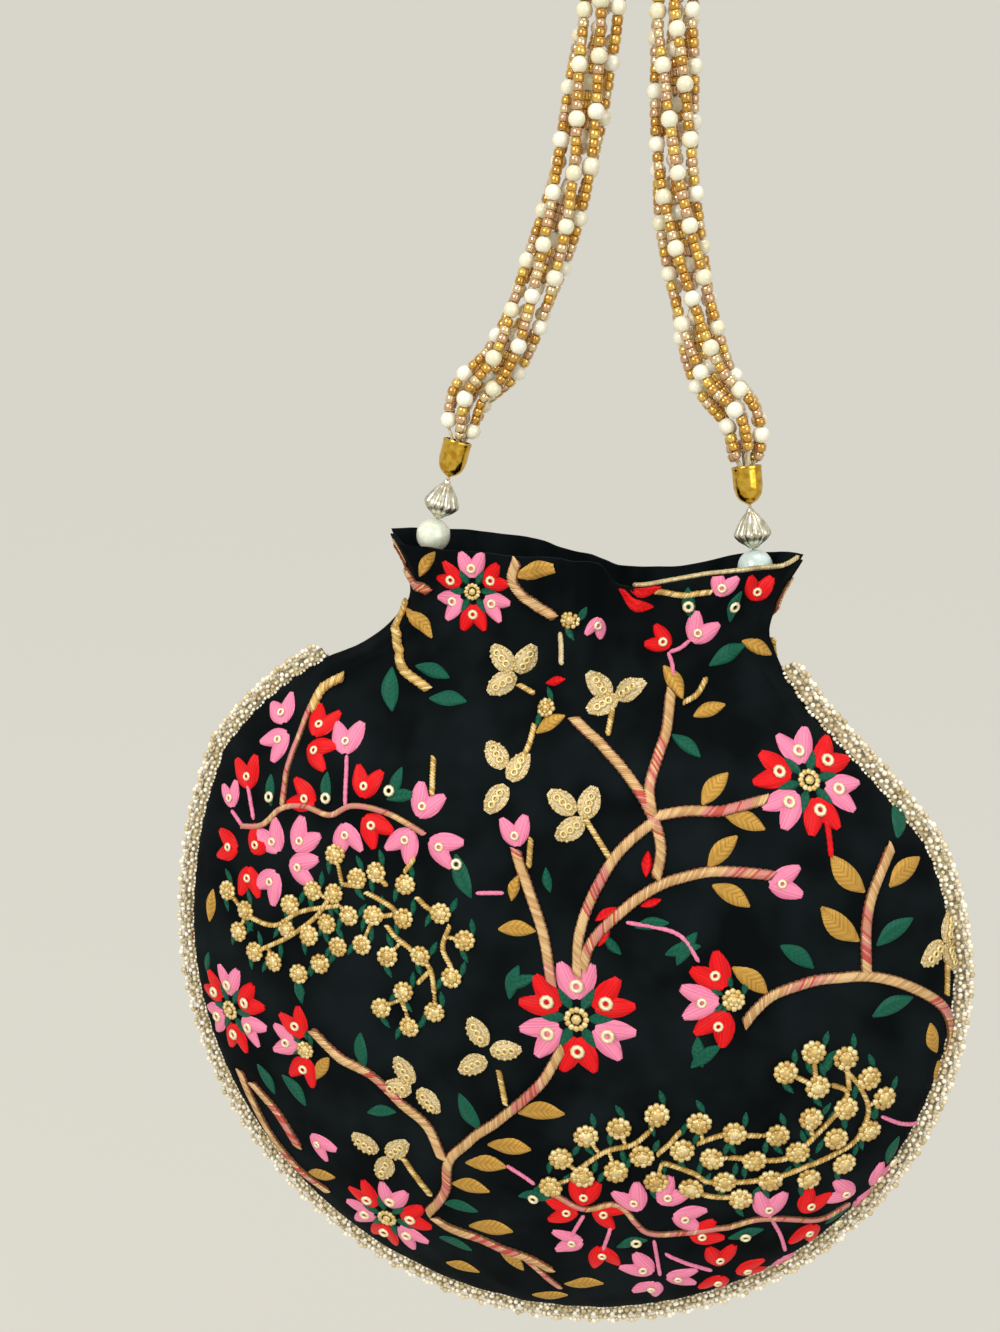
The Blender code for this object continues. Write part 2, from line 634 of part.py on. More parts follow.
def flower(name, u, row, radius, turn, look, parent):
    """Six heart-shaped petals round a middle, as one padded relief that follows the cloth."""
    spokes = 18
    u_now, row_now = u, row
    points, rings = [], (0.6, 1.0)
    rises = (FLOWER_RISE, 0.4 * FLOWER_RISE)

    def on_cloth(dx, dz, lift):
        z = row_now + dz
        width = float(half_width(np.array(z)))
        s = np.clip((width * math.sin(u_now * math.pi / 2) + dx) / width, -0.995, 0.995)
        uu = 2 / math.pi * math.asin(s)
        step = 0.004
        here = np.array([float(c) for c in panel_point(np.array(uu), np.array(z), True, 0, 0.5 * CLEARANCE)])
        side = np.array([float(c) for c in panel_point(np.array(uu + step), np.array(z), True, 0, 0.5 * CLEARANCE)])
        down = np.array([float(c) for c in panel_point(np.array(uu), np.array(z - 0.5), True, 0, 0.5 * CLEARANCE)])
        normal = np.cross(down - here, side - here)
        normal /= np.linalg.norm(normal)
        if normal[1] > 0:
            normal = -normal
        return here + normal * (CLEARANCE + lift)

    def reach(angle):
        lobe = abs(math.sin(3 * (angle - turn)))
        return radius * (0.64 + 0.36 * lobe**0.6)

    for lift_share in (0.0, 1.0):
        points.append(on_cloth(0, 0, lift_share * FLOWER_RISE * 1.2))
        for share, rise in zip(rings, rises):
            for k in range(spokes):
                angle = 2 * math.pi * k / spokes
                r = reach(angle) * share
                points.append(on_cloth(r * math.cos(angle), r * math.sin(angle), lift_share * rise))
    size = 1 + len(rings) * spokes
    faces = []
    for base in (0, size):
        for k in range(spokes):
            n = (k + 1) % spokes
            faces.append((base, base + 1 + k, base + 1 + n))
            for j in range(len(rings) - 1):
                a, b = base + 1 + j * spokes, base + 1 + (j + 1) * spokes
                faces.append((a + k, a + n, b + n, b + k))
    edge = 1 + (len(rings) - 1) * spokes
    for k in range(spokes):
        n = (k + 1) % spokes
        faces.append((edge + k, edge + n, size + edge + n, size + edge + k))
    return mesh_object(name, points, faces, look, (0, 0, HINGE_Z), parent)


def build():
    clear_scene()
    gold = material("gold_plate", "D9B64A", 0.28, 1.0)
    silver = material("silver_ivory_metal", "DAD7C8", 0.35, 0.9)
    glass = material("milky_glass", "C6D0CA", 0.2)
    cream_glass = material("cream_glass", "E9E0C6", 0.22)
    beads = material("pearl_and_seed_beads", "EFE3C2", 0.3)
    thread = material("cotton_thread", "E2D6B4", 0.7)
    cloth = material("black_velvet", "0A0F12", 0.8)
    inner = material("black_satin", "14181B", 0.45)
    trim = material("beaded_lace", "DAD3BE", 0.45, 0.3)
    metal_cord = material("zari_cord", "CFC39A", 0.4, 0.7)
    pink = material("rose_thread", "F58CB4", 0.6)

    handle = empty("handle", (0, 0, 0))
    for number in range(STRAND_COUNT + 1):
        strand(f"strand_{number + 1}", number, beads, handle)
    hinge = empty("bag_hinge", (0, 0, HINGE_Z), handle)
    for side, word in ((-1, "left"), (1, "right")):
        cap(f"cap_{word}", side, gold, handle)
        upper_thread(f"upper_thread_{word}", side, thread, handle)
        lower_thread(f"lower_thread_{word}", side, thread, hinge)
        ribbed_bead(f"ribbed_bead_{word}", side, silver, hinge)
        round_bead(f"round_bead_{word}", side, glass if side > 0 else cream_glass, hinge)
    panel("front_panel", True, cloth, hinge)
    panel("back_panel", False, cloth, hinge)
    lining("lining", inner, hinge)
    lace("lace_trim", trim, hinge)
    rim_cord("rim_cord", metal_cord, hinge)
    for word, (u, height, radius, turn) in FLOWERS.items():
        row = height * DISC_RADIUS - NECK_TO_CENTRE
        flower(f"flower_{word}", u, row, radius * DISC_RADIUS, turn, pink, hinge)


build()
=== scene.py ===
# %% [markdown]
# # Round potli bag with a beaded handle
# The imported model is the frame. This script dresses it: gathered velvet panels, thread embroidery,
# beaded lace, and the handle's pearls, seed beads, caps and threads. Lengths are in millimetres until
# a mesh is made, and `MM` turns them into metres. +Z is up and the front faces -Y.

import math
import random

import bmesh
import bpy
import numpy as np
from mathutils import Matrix, Vector
from mathutils.bvhtree import BVHTree


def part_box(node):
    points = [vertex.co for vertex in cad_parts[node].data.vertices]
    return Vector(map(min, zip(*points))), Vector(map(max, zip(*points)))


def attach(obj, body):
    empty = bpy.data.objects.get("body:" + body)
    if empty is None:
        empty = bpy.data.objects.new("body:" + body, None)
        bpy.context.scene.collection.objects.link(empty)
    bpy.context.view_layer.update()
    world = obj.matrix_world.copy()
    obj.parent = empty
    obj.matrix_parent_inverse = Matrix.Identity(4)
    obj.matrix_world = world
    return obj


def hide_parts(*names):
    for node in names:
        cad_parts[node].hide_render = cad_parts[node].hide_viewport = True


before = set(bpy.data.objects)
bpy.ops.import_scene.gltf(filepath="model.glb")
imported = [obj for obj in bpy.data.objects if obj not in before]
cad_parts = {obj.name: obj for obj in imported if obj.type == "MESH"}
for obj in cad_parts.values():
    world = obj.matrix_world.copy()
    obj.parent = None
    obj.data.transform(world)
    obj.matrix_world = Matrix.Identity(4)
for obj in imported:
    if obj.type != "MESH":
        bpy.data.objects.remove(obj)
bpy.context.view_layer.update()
MM = 0.001
rng = np.random.default_rng(7)


def in_scene(name, data):
    """A new object of the data, linked to the scene."""
    thing = bpy.data.objects.new(name, data)
    bpy.context.scene.collection.objects.link(thing)
    return thing


# %% [markdown]
# ## Camera
# Solved from the photograph: its 1000 x 1332 pixels, a little to the right of the bag and above it.
# A pixel can then be cast onto the bag, which is how the embroidery is laid out.

# %% Camera
WIDTH, HEIGHT = 1000, 1332
FOCAL_PX, SENSOR_WIDTH, NEAR_CLIP = 1600.0, 36.0, 0.01
AZIMUTH, ELEVATION, ROLL = (math.radians(a) for a in (11.0, 11.0, 4.4))
DISTANCE = 398.0
TARGET = Vector((-20.3, 0.0, -178.5))

back = Vector((math.sin(AZIMUTH) * math.cos(ELEVATION), -math.cos(AZIMUTH) * math.cos(ELEVATION),
               math.sin(ELEVATION)))
right = (-back).cross(Vector((0, 0, 1))).normalized()
up = right.cross(-back)
cam_right = right * math.cos(ROLL) + up * math.sin(ROLL)
cam_up = up * math.cos(ROLL) - right * math.sin(ROLL)
eye = TARGET + back * DISTANCE

lens = bpy.data.cameras.new("camera")
lens.sensor_fit = "HORIZONTAL"
lens.sensor_width, lens.clip_start = SENSOR_WIDTH, NEAR_CLIP
lens.lens = SENSOR_WIDTH * FOCAL_PX / WIDTH
camera = in_scene("camera", lens)
camera.matrix_world = Matrix.Translation(eye * MM) @ Matrix((cam_right, cam_up, back)).transposed().to_4x4()
bpy.context.scene.camera = camera


def pixel_ray(px, py):
    """The way from the eye through a pixel of the photograph."""
    return (cam_right * (px - WIDTH / 2) - cam_up * (py - HEIGHT / 2) - back * FOCAL_PX).normalized()


print("camera at", [round(c, 1) for c in eye], "mm")

# %% [markdown]
# ## Materials
# Each is a small node set. Thread, velvet and sequins get their grain from bump at real sizes.

# %% Materials


def linear(code):
    """An sRGB hex colour as linear RGBA."""
    rgb = [int(code[i : i + 2], 16) / 255 for i in (0, 2, 4)]
    return tuple(c / 12.92 if c <= 0.04045 else ((c + 0.055) / 1.055) ** 2.4 for c in rgb) + (1.0,)


class Tree:
    """A node tree and short ways to add to it."""

    def __init__(self, tree):
        self.nodes, self.links = tree.nodes, tree.links

    def feed(self, socket, value):
        """Sets a socket to a number or a hex colour, or links an output into it."""
        if isinstance(value, str):
            socket.default_value = linear(value)
        elif isinstance(value, (int, float)):
            socket.default_value = value
        else:
            self.links.new(value, socket)

    def add(self, kind, **settings):
        """A node. Each setting is one of its properties or one of its inputs."""
        node = self.nodes.new(kind)
        for key, value in settings.items():
            if hasattr(node, key):
                setattr(node, key, value)
            else:
                self.feed(node.inputs[key.replace("_", " ")], value)
        return node

    def math(self, operation, a, b=0.5):
        node = self.add("ShaderNodeMath", operation=operation)
        self.feed(node.inputs[0], a)
        self.feed(node.inputs[1], b)
        return node.outputs[0]

    def seen_directly(self):
        """1 for rays from the camera, a reflection or through glass, 0 for the light on the object."""
        path = self.add("ShaderNodeLightPath").outputs
        straight = self.math("MAXIMUM", path["Is Camera Ray"], path["Is Glossy Ray"])
        return self.math("MAXIMUM", straight, path["Is Transmission Ray"])

    def mix_shaders(self, factor, first, second, end):
        """A mix of two shaders, linked into the end node's surface."""
        node = self.add("ShaderNodeMixShader")
        for socket, source in enumerate((factor, first, second)):
            self.links.new(source, node.inputs[socket])
        self.links.new(node.outputs[0], self.nodes[end].inputs["Surface"])


class Look(Tree):
    """A material, its shader and what feeds it."""

    def __init__(self, name, colour, roughness, metallic=0.0, **more):
        self.material = bpy.data.materials.new(name)
        self.material.use_nodes = True
        super().__init__(self.material.node_tree)
        self.shader = self.nodes["Principled BSDF"]
        for key, value in {"Base Color": colour, "Roughness": roughness, "Metallic": metallic, **more}.items():
            self.feed(self.shader.inputs[key.replace("_", " ")], value)

    def attribute(self, name):
        return self.add("ShaderNodeAttribute", attribute_name=name).outputs["Fac"]

    def mix(self, factor, first, second):
        node = self.add("ShaderNodeMix", data_type="RGBA")
        for socket, value in ((0, factor), (6, first), (7, second)):
            self.feed(node.inputs[socket], value)
        return node.outputs[2]

    def between(self, source, low, high, top=1.0):
        """0 to `top` as the source goes from low to high."""
        return self.add("ShaderNodeMapRange", Value=source, From_Min=low, From_Max=high, To_Max=top).outputs[0]

    def colour(self, source):
        self.links.new(source, self.shader.inputs["Base Color"])

    def bump(self, height, distance_mm, strength):
        node = self.add("ShaderNodeBump", Strength=strength, Distance=distance_mm * MM, Height=height)
        self.links.new(node.outputs["Normal"], self.shader.inputs["Normal"])

    def noise(self, size_mm, detail=2.0):
        place = self.add("ShaderNodeTexCoord").outputs["Object"]
        return self.add("ShaderNodeTexNoise", Vector=place, Scale=1000 / size_mm, Detail=detail).outputs["Fac"]


def velvet_look(name, colour, light):
    """Short pile with slow clouds of the lighter colour."""
    look = Look(name, colour, 0.9, Sheen_Weight=0.02, Sheen_Roughness=0.4, Specular_IOR_Level=0.06,
                Sheen_Tint=light)
    look.colour(look.mix(look.between(look.noise(16.0), 0.35, 0.7), colour, light))
    look.bump(look.noise(0.35, 3.0), 0.12, 0.5)
    return look.material


def thread_look(name, colour, dark, pitch=0.34, metallic=0.0, fleck=None):
    """Satin stitch: the attribute `across` counts millimetres across the threads. Each thread has its own random tone,
    and the grooves between threads are painted darker as shade.
    """
    look = Look(name, colour, 0.42, metallic, Sheen_Weight=0.02, Specular_IOR_Level=0.2)
    across = look.math("DIVIDE", look.attribute("across"), pitch)
    wave = look.math("ABSOLUTE", look.math("SINE", look.math("MULTIPLY", across, math.pi)))
    each = look.add("ShaderNodeTexWhiteNoise", noise_dimensions="1D", W=look.math("FLOOR", across))
    # each thread gets its own random tone, and the grooves between threads are painted darker: painted shade
    strand_tone = look.math("MULTIPLY", each.outputs["Value"], 0.55)
    tone_and_groove_shade = look.math("ADD", strand_tone, look.math("MULTIPLY", look.math("SUBTRACT", 1.0, wave), 0.4))
    mixed = look.mix(tone_and_groove_shade, colour, dark)
    if fleck:
        mixed = look.mix(look.between(look.noise(5.0, 1.0), 0.48, 0.68, 0.75), mixed, fleck)
    look.colour(mixed)
    look.bump(wave, 0.10, 0.7)
    return look.material


def plain_look(name, colour, roughness, metallic=0.0, grain=None, *, second, **more):
    """One colour with patches of a second and, where `grain` is set, a fine bump of that size."""
    look = Look(name, colour, roughness, metallic, **more)
    look.colour(look.mix(look.between(look.noise(1.6), 0.4, 0.62), colour, second))
    if grain:
        look.bump(look.noise(grain), 0.05, 0.6)
    return look.material


def tinted_look(name, colours, roughness, metallic, **more):
    """Beads whose colour follows the attribute `tint`, from 0 to 1."""
    look = Look(name, colours[0], roughness, metallic, **more)
    ramp = look.add("ShaderNodeValToRGB", Fac=look.attribute("tint"))
    ramp.color_ramp.interpolation = "CONSTANT"
    while len(ramp.color_ramp.elements) < len(colours):
        ramp.color_ramp.elements.new(0.5)
    for i, code in enumerate(colours):
        ramp.color_ramp.elements[i].position = i / len(colours)
        ramp.color_ramp.elements[i].color = linear(code)
    look.colour(ramp.outputs["Color"])
    look.bump(look.noise(0.9), 0.03, 0.4)
    return look.material


VELVET = velvet_look("black_velvet", "04080A", "10171A")
SATIN = plain_look("black_satin", "0B0E10", 0.45, grain=0.5, second="14181B")
RED = thread_look("red_floss", "F20410", "9C0209")
PINK = thread_look("rose_floss", "F392B3", "CC5F8A")
GREEN = thread_look("green_floss", "00614A", "013427")
GOLD_LEAF = thread_look("gold_floss", "D3A54C", "80581D", metallic=0.3)
ROPE = thread_look("tan_rope", "80593A", "4A2F1A", pitch=0.75, fleck="8E3A2B")
CHAIN = tinted_look("twisted_cord_thread", ["C6A06C", "B58C5A", "D2B080", "C27C74", "B5463A", "C8A75E", "DAC286",
                                            "AE8C48"], 0.45, 0.15)
CREAM = thread_look("cream_floss", "E9DDB8", "A98F5C", metallic=0.2)
SEQUIN = tinted_look("sequins", ["EFE3BC", "E2CB8E", "D2AA5A"], 0.3, 0.35)
BERRY = tinted_look("gold_sequins", ["D8BE80", "CDB06C", "E3CF99", "BC9B58"], 0.36, 0.4)
PEARL = tinted_look("ivory_pearl", ["F0E7CB", "E8DCBB", "F4EDD8"], 0.22, 0.0, Coat_Weight=0.8,
                    Subsurface_Weight=0.15)
SEED = tinted_look("seed_beads", ["CF9E34", "C9A27A", "DDB650", "B98622", "D9BF92", "C28F2C"], 0.14, 0.6,
                   Coat_Weight=1.0)
LACE_BEAD = tinted_look("lace_beads", ["EFE6CF", "DCCFAF", "F6F0E0", "C6B68E"], 0.34, 0.1)
LACE_THREAD = plain_look("lace_thread", "B5A888", 0.7, grain=0.4, second="6B624E")
GOLD = plain_look("gold_plate", "E0B84A", 0.2, 1.0, grain=2.5, second="C4932B")
SILVER = plain_look("silver_ivory_plate", "E2DFD0", 0.28, 0.9, grain=1.2, second="B9B4A0")
GLASS_AQUA = plain_look("milky_aqua_glass", "C9D4CE", 0.12, Subsurface_Weight=0.3, Coat_Weight=1.0,
                        second="DCE3DD")
GLASS_CREAM = plain_look("milky_cream_glass", "E6DCC2", 0.14, Subsurface_Weight=0.3, Coat_Weight=1.0,
                         second="F2ECDC")
COTTON = plain_look("cotton_thread", "D9CCA6", 0.7, grain=0.3, second="B09F74")
ZARI = thread_look("zari_cord", "E3D3A6", "7D6636", pitch=0.8, metallic=0.5)
print(len(bpy.data.materials), "materials")

# %% [markdown]
# ## Curves, meshes and repeats
# `solid` makes one piece that rides on a body. `repeat` is a Geometry Nodes set that puts one small
# shape on many points, each with its own turn, size and tint.

# %% Curves and grids


def quads(rows, columns, base=0, across=False, closed=False, flip=False):
    """The faces of a grid of points, `columns` to a row. `closed` joins each row's ends, and `across`
    and `flip` say which way round a face goes."""
    faces = []
    for j in range(rows - 1):
        a, b = base + j * columns, base + (j + 1) * columns
        for k in range(columns if closed else columns - 1):
            n = (k + 1) % columns
            faces.append((a + k, a + n, b + n, b + k) if across else (a + k, b + k, b + n, a + n))
    return [face[::-1] for face in faces] if flip else faces


def distances(path):
    """How far along a path each of its points lies."""
    return np.concatenate([[0], np.cumsum(np.linalg.norm(np.diff(path, axis=0), axis=1))])


def at_distance(where, run, path):
    """The places at these distances along a path, where `run` gives its points' distances."""
    return np.stack([np.interp(where, run, column) for column in path.T], axis=-1)


def unit_ways(path):
    """The unit way along a path at each of its points."""
    ahead = np.gradient(path, axis=0)
    return ahead / np.maximum(np.linalg.norm(ahead, axis=1), 1e-9)[:, None]


def hermite(xs, ys, slopes, at):
    """The curve through the keys with these slopes there."""
    i = np.clip(np.searchsorted(xs, at, side="right") - 1, 0, len(xs) - 2)
    h = xs[i + 1] - xs[i]
    t = (at - xs[i]) / h
    return ((2 * t**3 - 3 * t**2 + 1) * ys[i] + (t**3 - 2 * t**2 + t) * h * slopes[i]
            + (-2 * t**3 + 3 * t**2) * ys[i + 1] + (t**3 - t**2) * h * slopes[i + 1])


def smooth_curve(xs, ys, at):
    """A curve through the keys without overshoot."""
    xs, ys, at = np.array(xs, float), np.array(ys, float), np.clip(at, xs[0], xs[-1])
    slope = np.diff(ys) / np.diff(xs)
    product, total = slope[:-1] * slope[1:], slope[:-1] + slope[1:]
    inner = np.where(product > 0, 2 * slope[:-1] * slope[1:] / np.where(total == 0, 1, total), 0.0)
    return hermite(xs, ys, np.concatenate([slope[:1], inner, slope[-1:]]), at)


def smooth_path(points, step):
    """A curve through the points, at even steps."""
    points = np.array(points, float)
    if len(points) < 3:
        points = np.linspace(points[0], points[-1], 3)
    chord = np.concatenate([[0], np.cumsum(np.linalg.norm(np.diff(points, axis=0), axis=1) ** 0.5)])
    slopes, at = np.gradient(points, chord, axis=0), np.linspace(0, chord[-1], 160)
    line = np.stack([hermite(chord, points[:, k], slopes[:, k], at) for k in range(3)], axis=1)
    run = distances(line)
    return at_distance(np.linspace(0, run[-1], max(3, int(run[-1] / step))), run, line)


# %% Meshes and repeats


def as_piece(name, mesh, body, replaces):
    """The mesh as a piece that rides on a body."""
    piece = in_scene(name, mesh)
    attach(piece, body)
    if replaces:
        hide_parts(*replaces)
    return piece


def solid(name, points, faces, look, body, replaces=(), attributes=None):
    """A piece from points in millimetres. Attributes are given per point."""
    mesh = bpy.data.meshes.new(name)
    mesh.from_pydata((np.array(points, float) * MM).tolist(), [], faces)
    for key, values in (attributes or {}).items():
        mesh.attributes.new(key, "FLOAT", "POINT").data.foreach_set("value", np.array(values, np.float32))
    mesh.materials.append(look)
    mesh.shade_smooth()
    mesh.set_sharp_from_angle(angle=math.radians(50))
    print(name, len(mesh.polygons), "faces")
    return as_piece(name, mesh, body, replaces)


def repeat_group():
    """The node set: points in, one shape on each, made real, with one material."""
    group = bpy.data.node_groups.new("shape_on_points", "GeometryNodeTree")
    group.is_modifier = True
    for name, way, kind in (("Points", "INPUT", "Geometry"), ("Shape", "INPUT", "Object"),
                            ("Look", "INPUT", "Material"), ("Repeats", "OUTPUT", "Geometry")):
        group.interface.new_socket(name, in_out=way, socket_type="NodeSocket" + kind)
    start, end, shape, turn, size, place, real, paint = (group.nodes.new(kind) for kind in (
        "NodeGroupInput", "NodeGroupOutput", "GeometryNodeObjectInfo", "GeometryNodeInputNamedAttribute",
        "GeometryNodeInputNamedAttribute", "GeometryNodeInstanceOnPoints", "GeometryNodeRealizeInstances",
        "GeometryNodeSetMaterial"))
    for node, name in ((turn, "turn"), (size, "size")):
        node.data_type = "FLOAT_VECTOR"
        node.inputs["Name"].default_value = name
    for source, output, target, socket in (
            (start, "Points", place, "Points"), (start, "Shape", shape, "Object"),
            (shape, "Geometry", place, "Instance"), (turn, "Attribute", place, "Rotation"),
            (size, "Attribute", place, "Scale"), (place, "Instances", real, "Geometry"),
            (real, "Geometry", paint, "Geometry"), (start, "Look", paint, "Material"),
            (paint, "Geometry", end, "Repeats")):
        group.links.new(source.outputs[output], target.inputs[socket])
    return group


REPEAT = repeat_group()


def shape_object(name, build):
    """A small hidden shape in millimetres, made by a bmesh function."""
    mesh = bpy.data.meshes.new(name)
    work = bmesh.new()
    build(work)
    bmesh.ops.scale(work, vec=(MM, MM, MM), verts=work.verts)
    work.to_mesh(mesh)
    work.free()
    mesh.shade_smooth()
    return bpy.data.objects.new(name, mesh)


def turned_bead(work, profile, sides, bored):
    """A bead from (radius, height) down its outside, closed through its bore or at its poles."""
    loops = []
    for radius, height in profile:
        loops.append([work.verts.new((radius * math.cos(t), radius * math.sin(t), height))
                      for t in np.arange(sides) * 2 * math.pi / sides])
    for low, high in zip(loops, loops[1:] + loops[:1] if bored else loops[1:]):
        for k in range(sides):
            n = (k + 1) % sides
            work.faces.new((low[k], high[k], high[n], low[n]))
    bmesh.ops.remove_doubles(work, verts=work.verts, dist=1e-4)
    bmesh.ops.recalc_face_normals(work, faces=work.faces)


def ball(work, rings, sides, tall=1.0, hole=0.0):
    """A round bead along Z, of radius 1, flattened by `tall`, with a bore where `hole` is set."""
    first = math.asin(hole)
    profile = [(math.sin(a), tall * math.cos(a)) for a in np.linspace(first, math.pi - first, rings)]
    turned_bead(work, profile, sides, hole > 0)


def ring_shape(work, major, minor, sides, round_by):
    """A ring lying in XY."""
    loops = []
    for t in np.arange(sides) * 2 * math.pi / sides:
        loops.append([work.verts.new(((major + minor * math.cos(a)) * math.cos(t),
                                      (major + minor * math.cos(a)) * math.sin(t), minor * math.sin(a)))
                      for a in np.arange(round_by) * 2 * math.pi / round_by])
    for i, loop in enumerate(loops):
        after = loops[(i + 1) % sides]
        for k in range(round_by):
            n = (k + 1) % round_by
            work.faces.new((loop[k], after[k], after[n], loop[n]))


SPIRAL = 2.4  # each repeated shape is turned this much further about its axis, in radians


def repeat(name, shape, places, ways, sizes, tints, look, body, slot, replaces=()):
    """A piece made of one shape on many points. `ways` are the shape's Z axes."""
    points = bpy.data.meshes.new(name + "_points")
    points.from_pydata((np.array(places, float) * MM).tolist(), [], [])
    turns = []
    for i, way in enumerate(ways):
        q = Vector(way).to_track_quat("Z", "Y")
        turns.extend((q @ Matrix.Rotation(SPIRAL * i, 3, "Z").to_quaternion()).to_euler())
    sizes = np.array(sizes, np.float32)
    if sizes.ndim == 1:
        sizes = np.repeat(sizes[:, None], 3, axis=1)
    for key, kind, field, values in (("turn", "FLOAT_VECTOR", "vector", turns),
                                     ("size", "FLOAT_VECTOR", "vector", sizes.ravel()),
                                     ("tint", "FLOAT", "value", np.array(tints, np.float32))):
        points.attributes.new(key, kind, "POINT").data.foreach_set(field, values)
    carrier = in_scene(name + "_carrier", points)
    bpy.context.scene.collection.objects.link(shape)
    modifier = carrier.modifiers.new("repeat", "NODES")
    modifier.node_group = REPEAT
    for item in REPEAT.interface.items_tree:
        if item.in_out == "INPUT" and item.name in ("Shape", "Look"):
            modifier[item.identifier] = shape if item.name == "Shape" else look
    bpy.context.view_layer.update()
    mesh = bpy.data.meshes.new_from_object(carrier.evaluated_get(bpy.context.evaluated_depsgraph_get()))
    mesh.name = name
    bpy.data.objects.remove(carrier, do_unlink=True)
    bpy.context.scene.collection.objects.unlink(shape)
    mesh.shade_smooth()
    print(name, len(places), "shapes,", len(mesh.polygons), "faces")
    return as_piece(name, mesh, body, replaces)


PLY_BULGE, PLY_DIP, CHAIN_PITCH, TAPER = 0.22, 0.12, 1.5, 1.1


def tube(path, radius, sides=8, plies=0, lay=3.0, flat=None):
    """Points, faces and across-thread millimetres of a tube along a path, plied like rope if asked.
    `flat` gives each place's up and how low the tube lies there beside its radius."""
    path = np.array(path, float)
    ahead, run = unit_ways(path), distances(path)
    low, one = flat[1] if flat else 1.0, np.cross(ahead[0], (0.31, 0.2, 0.93))
    points, across = [], []
    for i, (centre, way) in enumerate(zip(path, ahead)):
        one = flat[0][i] if flat else one
        one = one - way * np.dot(one, way)
        one /= np.linalg.norm(one)
        two = np.cross(way, one)
        end = min(1.0, 0.35 + TAPER * min(run[i], run[-1] - run[i]))
        for k in range(sides):
            turn = 2 * math.pi * k / sides
            twist = turn + 2 * math.pi * run[i] / lay
            slant = run[i] + 0.9 * radius * abs(math.sin(turn)) if flat else twist * radius
            stitch = abs(math.sin(math.pi * slant / CHAIN_PITCH) if flat else math.cos(plies * twist / 2))
            r = radius * end * (1 + (PLY_BULGE * stitch - PLY_DIP if plies else 0))
            points.append(centre + r * (low * math.cos(turn) * one + math.sin(turn) * two))
            across.append(slant)
    faces = quads(len(path), sides, across=True, closed=True)
    faces += [tuple(range(sides))[::-1], tuple(range(len(points) - sides, len(points)))]
    return points, faces, across


# %% [markdown]
# ## Cloth
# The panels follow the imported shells: a disc cut off at the neck, puffed, gathered at the neck and
# flared at the rim. Here they get finer pleats and the puckers that the stitching pulls into them.

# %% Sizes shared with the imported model
DISC_RADIUS, NECK_HALF, NECK_DEPTH = 98.0, 44.5, 11.0
RIM_HALF, RIM_DEPTH, FRILL_HEIGHT = 50.5, 13.0, 17.0
NECK_TO_CENTRE, PUFF, PUFF_POWER = 88.0, 28.0, 0.62
CLOTH, LINING, CLEARANCE = 1.4, 0.8, 0.3
PLEATS, PLEAT_DEPTH, FOLD_DEPTH, FOLD_PLACE = 8, 1.9, 4.0, 0.07
RIM_SAG, RIM_DIP, BACK_DIP, RIM_TILT = 3.4, 6.0, 7.0, 0.035
SHOULDER_DROP, SLOUCH, LACE_TOP_LEFT, LACE_TOP_RIGHT = 50.0, 5.0, 19.0, 9.0
ATTACH_HALF_WIDTH, ATTACH_DROP, STACK_LEAN = 35.0, 124.0, math.radians(11.0)
NECK_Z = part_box("back_panel")[1].z / MM - FRILL_HEIGHT
print("neck", round(NECK_Z, 2))


def half_width(z):
    """Half the panel's width at a height over the neck."""
    circle = np.sqrt(np.maximum(DISC_RADIUS**2 - (z + NECK_TO_CENTRE) ** 2, 0.0))
    joined = math.sqrt(DISC_RADIUS**2 - (NECK_TO_CENTRE - SHOULDER_DROP) ** 2)
    down = [1.0, 0.92, 0.86, 0.72, 0.60, 0.48, 0.40, 0.30, 0.16, 0.0]
    share = [1.0, 0.96, 0.905, 0.775, 0.644, 0.50, 0.393, 0.24, 0.087, 0.0]
    heights = [-SHOULDER_DROP * d for d in down] + [0.35 * FRILL_HEIGHT, FRILL_HEIGHT]
    widths = [NECK_HALF + (joined - NECK_HALF) * w for w in share] + [NECK_HALF + 1.0, RIM_HALF]
    return np.where(z < -SHOULDER_DROP, circle, smooth_curve(heights, widths, z))


def slouch(z):
    """How far both seams lie to the left: the left shoulder is the fuller one."""
    return -SLOUCH * smooth_curve([-80.0, -51.0, -43.0, -27.0, -20.0, -14.0, -4.0],
                                  [0.0, 0.4, 0.7, 1.0, 0.9, 0.3, 0.0], z)


def half_depth(z):
    """How far the middle of a panel stands out at a height over the neck."""
    puffed = PUFF * (half_width(z) / DISC_RADIUS) ** (2 * PUFF_POWER)
    gathered = smooth_curve([-40.0, 0.0, FRILL_HEIGHT], [0.0, 1.0, 1.0], z)
    mouth = smooth_curve([0.0, FRILL_HEIGHT], [NECK_DEPTH, RIM_DEPTH], z)
    return puffed * (1 - gathered) + mouth * gathered


def pleat_wave(u):
    """The pleats round the neck, uneven as gathers are, and dying out at the seams."""
    warped = u + 0.045 * np.sin(5.3 * u + 0.6) + 0.02 * np.sin(11.0 * u)
    height = 0.8 + 0.25 * np.sin(7.1 * u + 1.0)
    wave = np.cos(math.pi * PLEATS * warped)
    fine = 0.16 * np.cos(math.pi * 2.7 * PLEATS * warped + 1.3)
    return height * (wave + fine) * np.clip(6 * (1 - np.abs(u)), 0, 1)


def rim_drop(u, front):
    """How far the rim sags: the front more, with a step at its fold."""
    if not front:
        return BACK_DIP * np.exp(-(((u - 0.15) / 0.30) ** 2))
    sag = RIM_SAG * smooth_curve([0.0, 0.12, 0.32, 1.0], [0.0, 0.45, 1.0, 1.0], 1 - np.abs(u))
    step = 1 / (1 + np.exp(-(u - FOLD_PLACE) / 0.012))
    blunt = 1.4 * np.exp(-(((1 - np.abs(u)) / 0.05) ** 2))
    return sag + blunt + RIM_DIP * step * np.exp(-(np.maximum(u - FOLD_PLACE, 0) / 0.34) ** 2)


SEAM_GAP = 0.15  # from the seam's plane to each panel's cloth


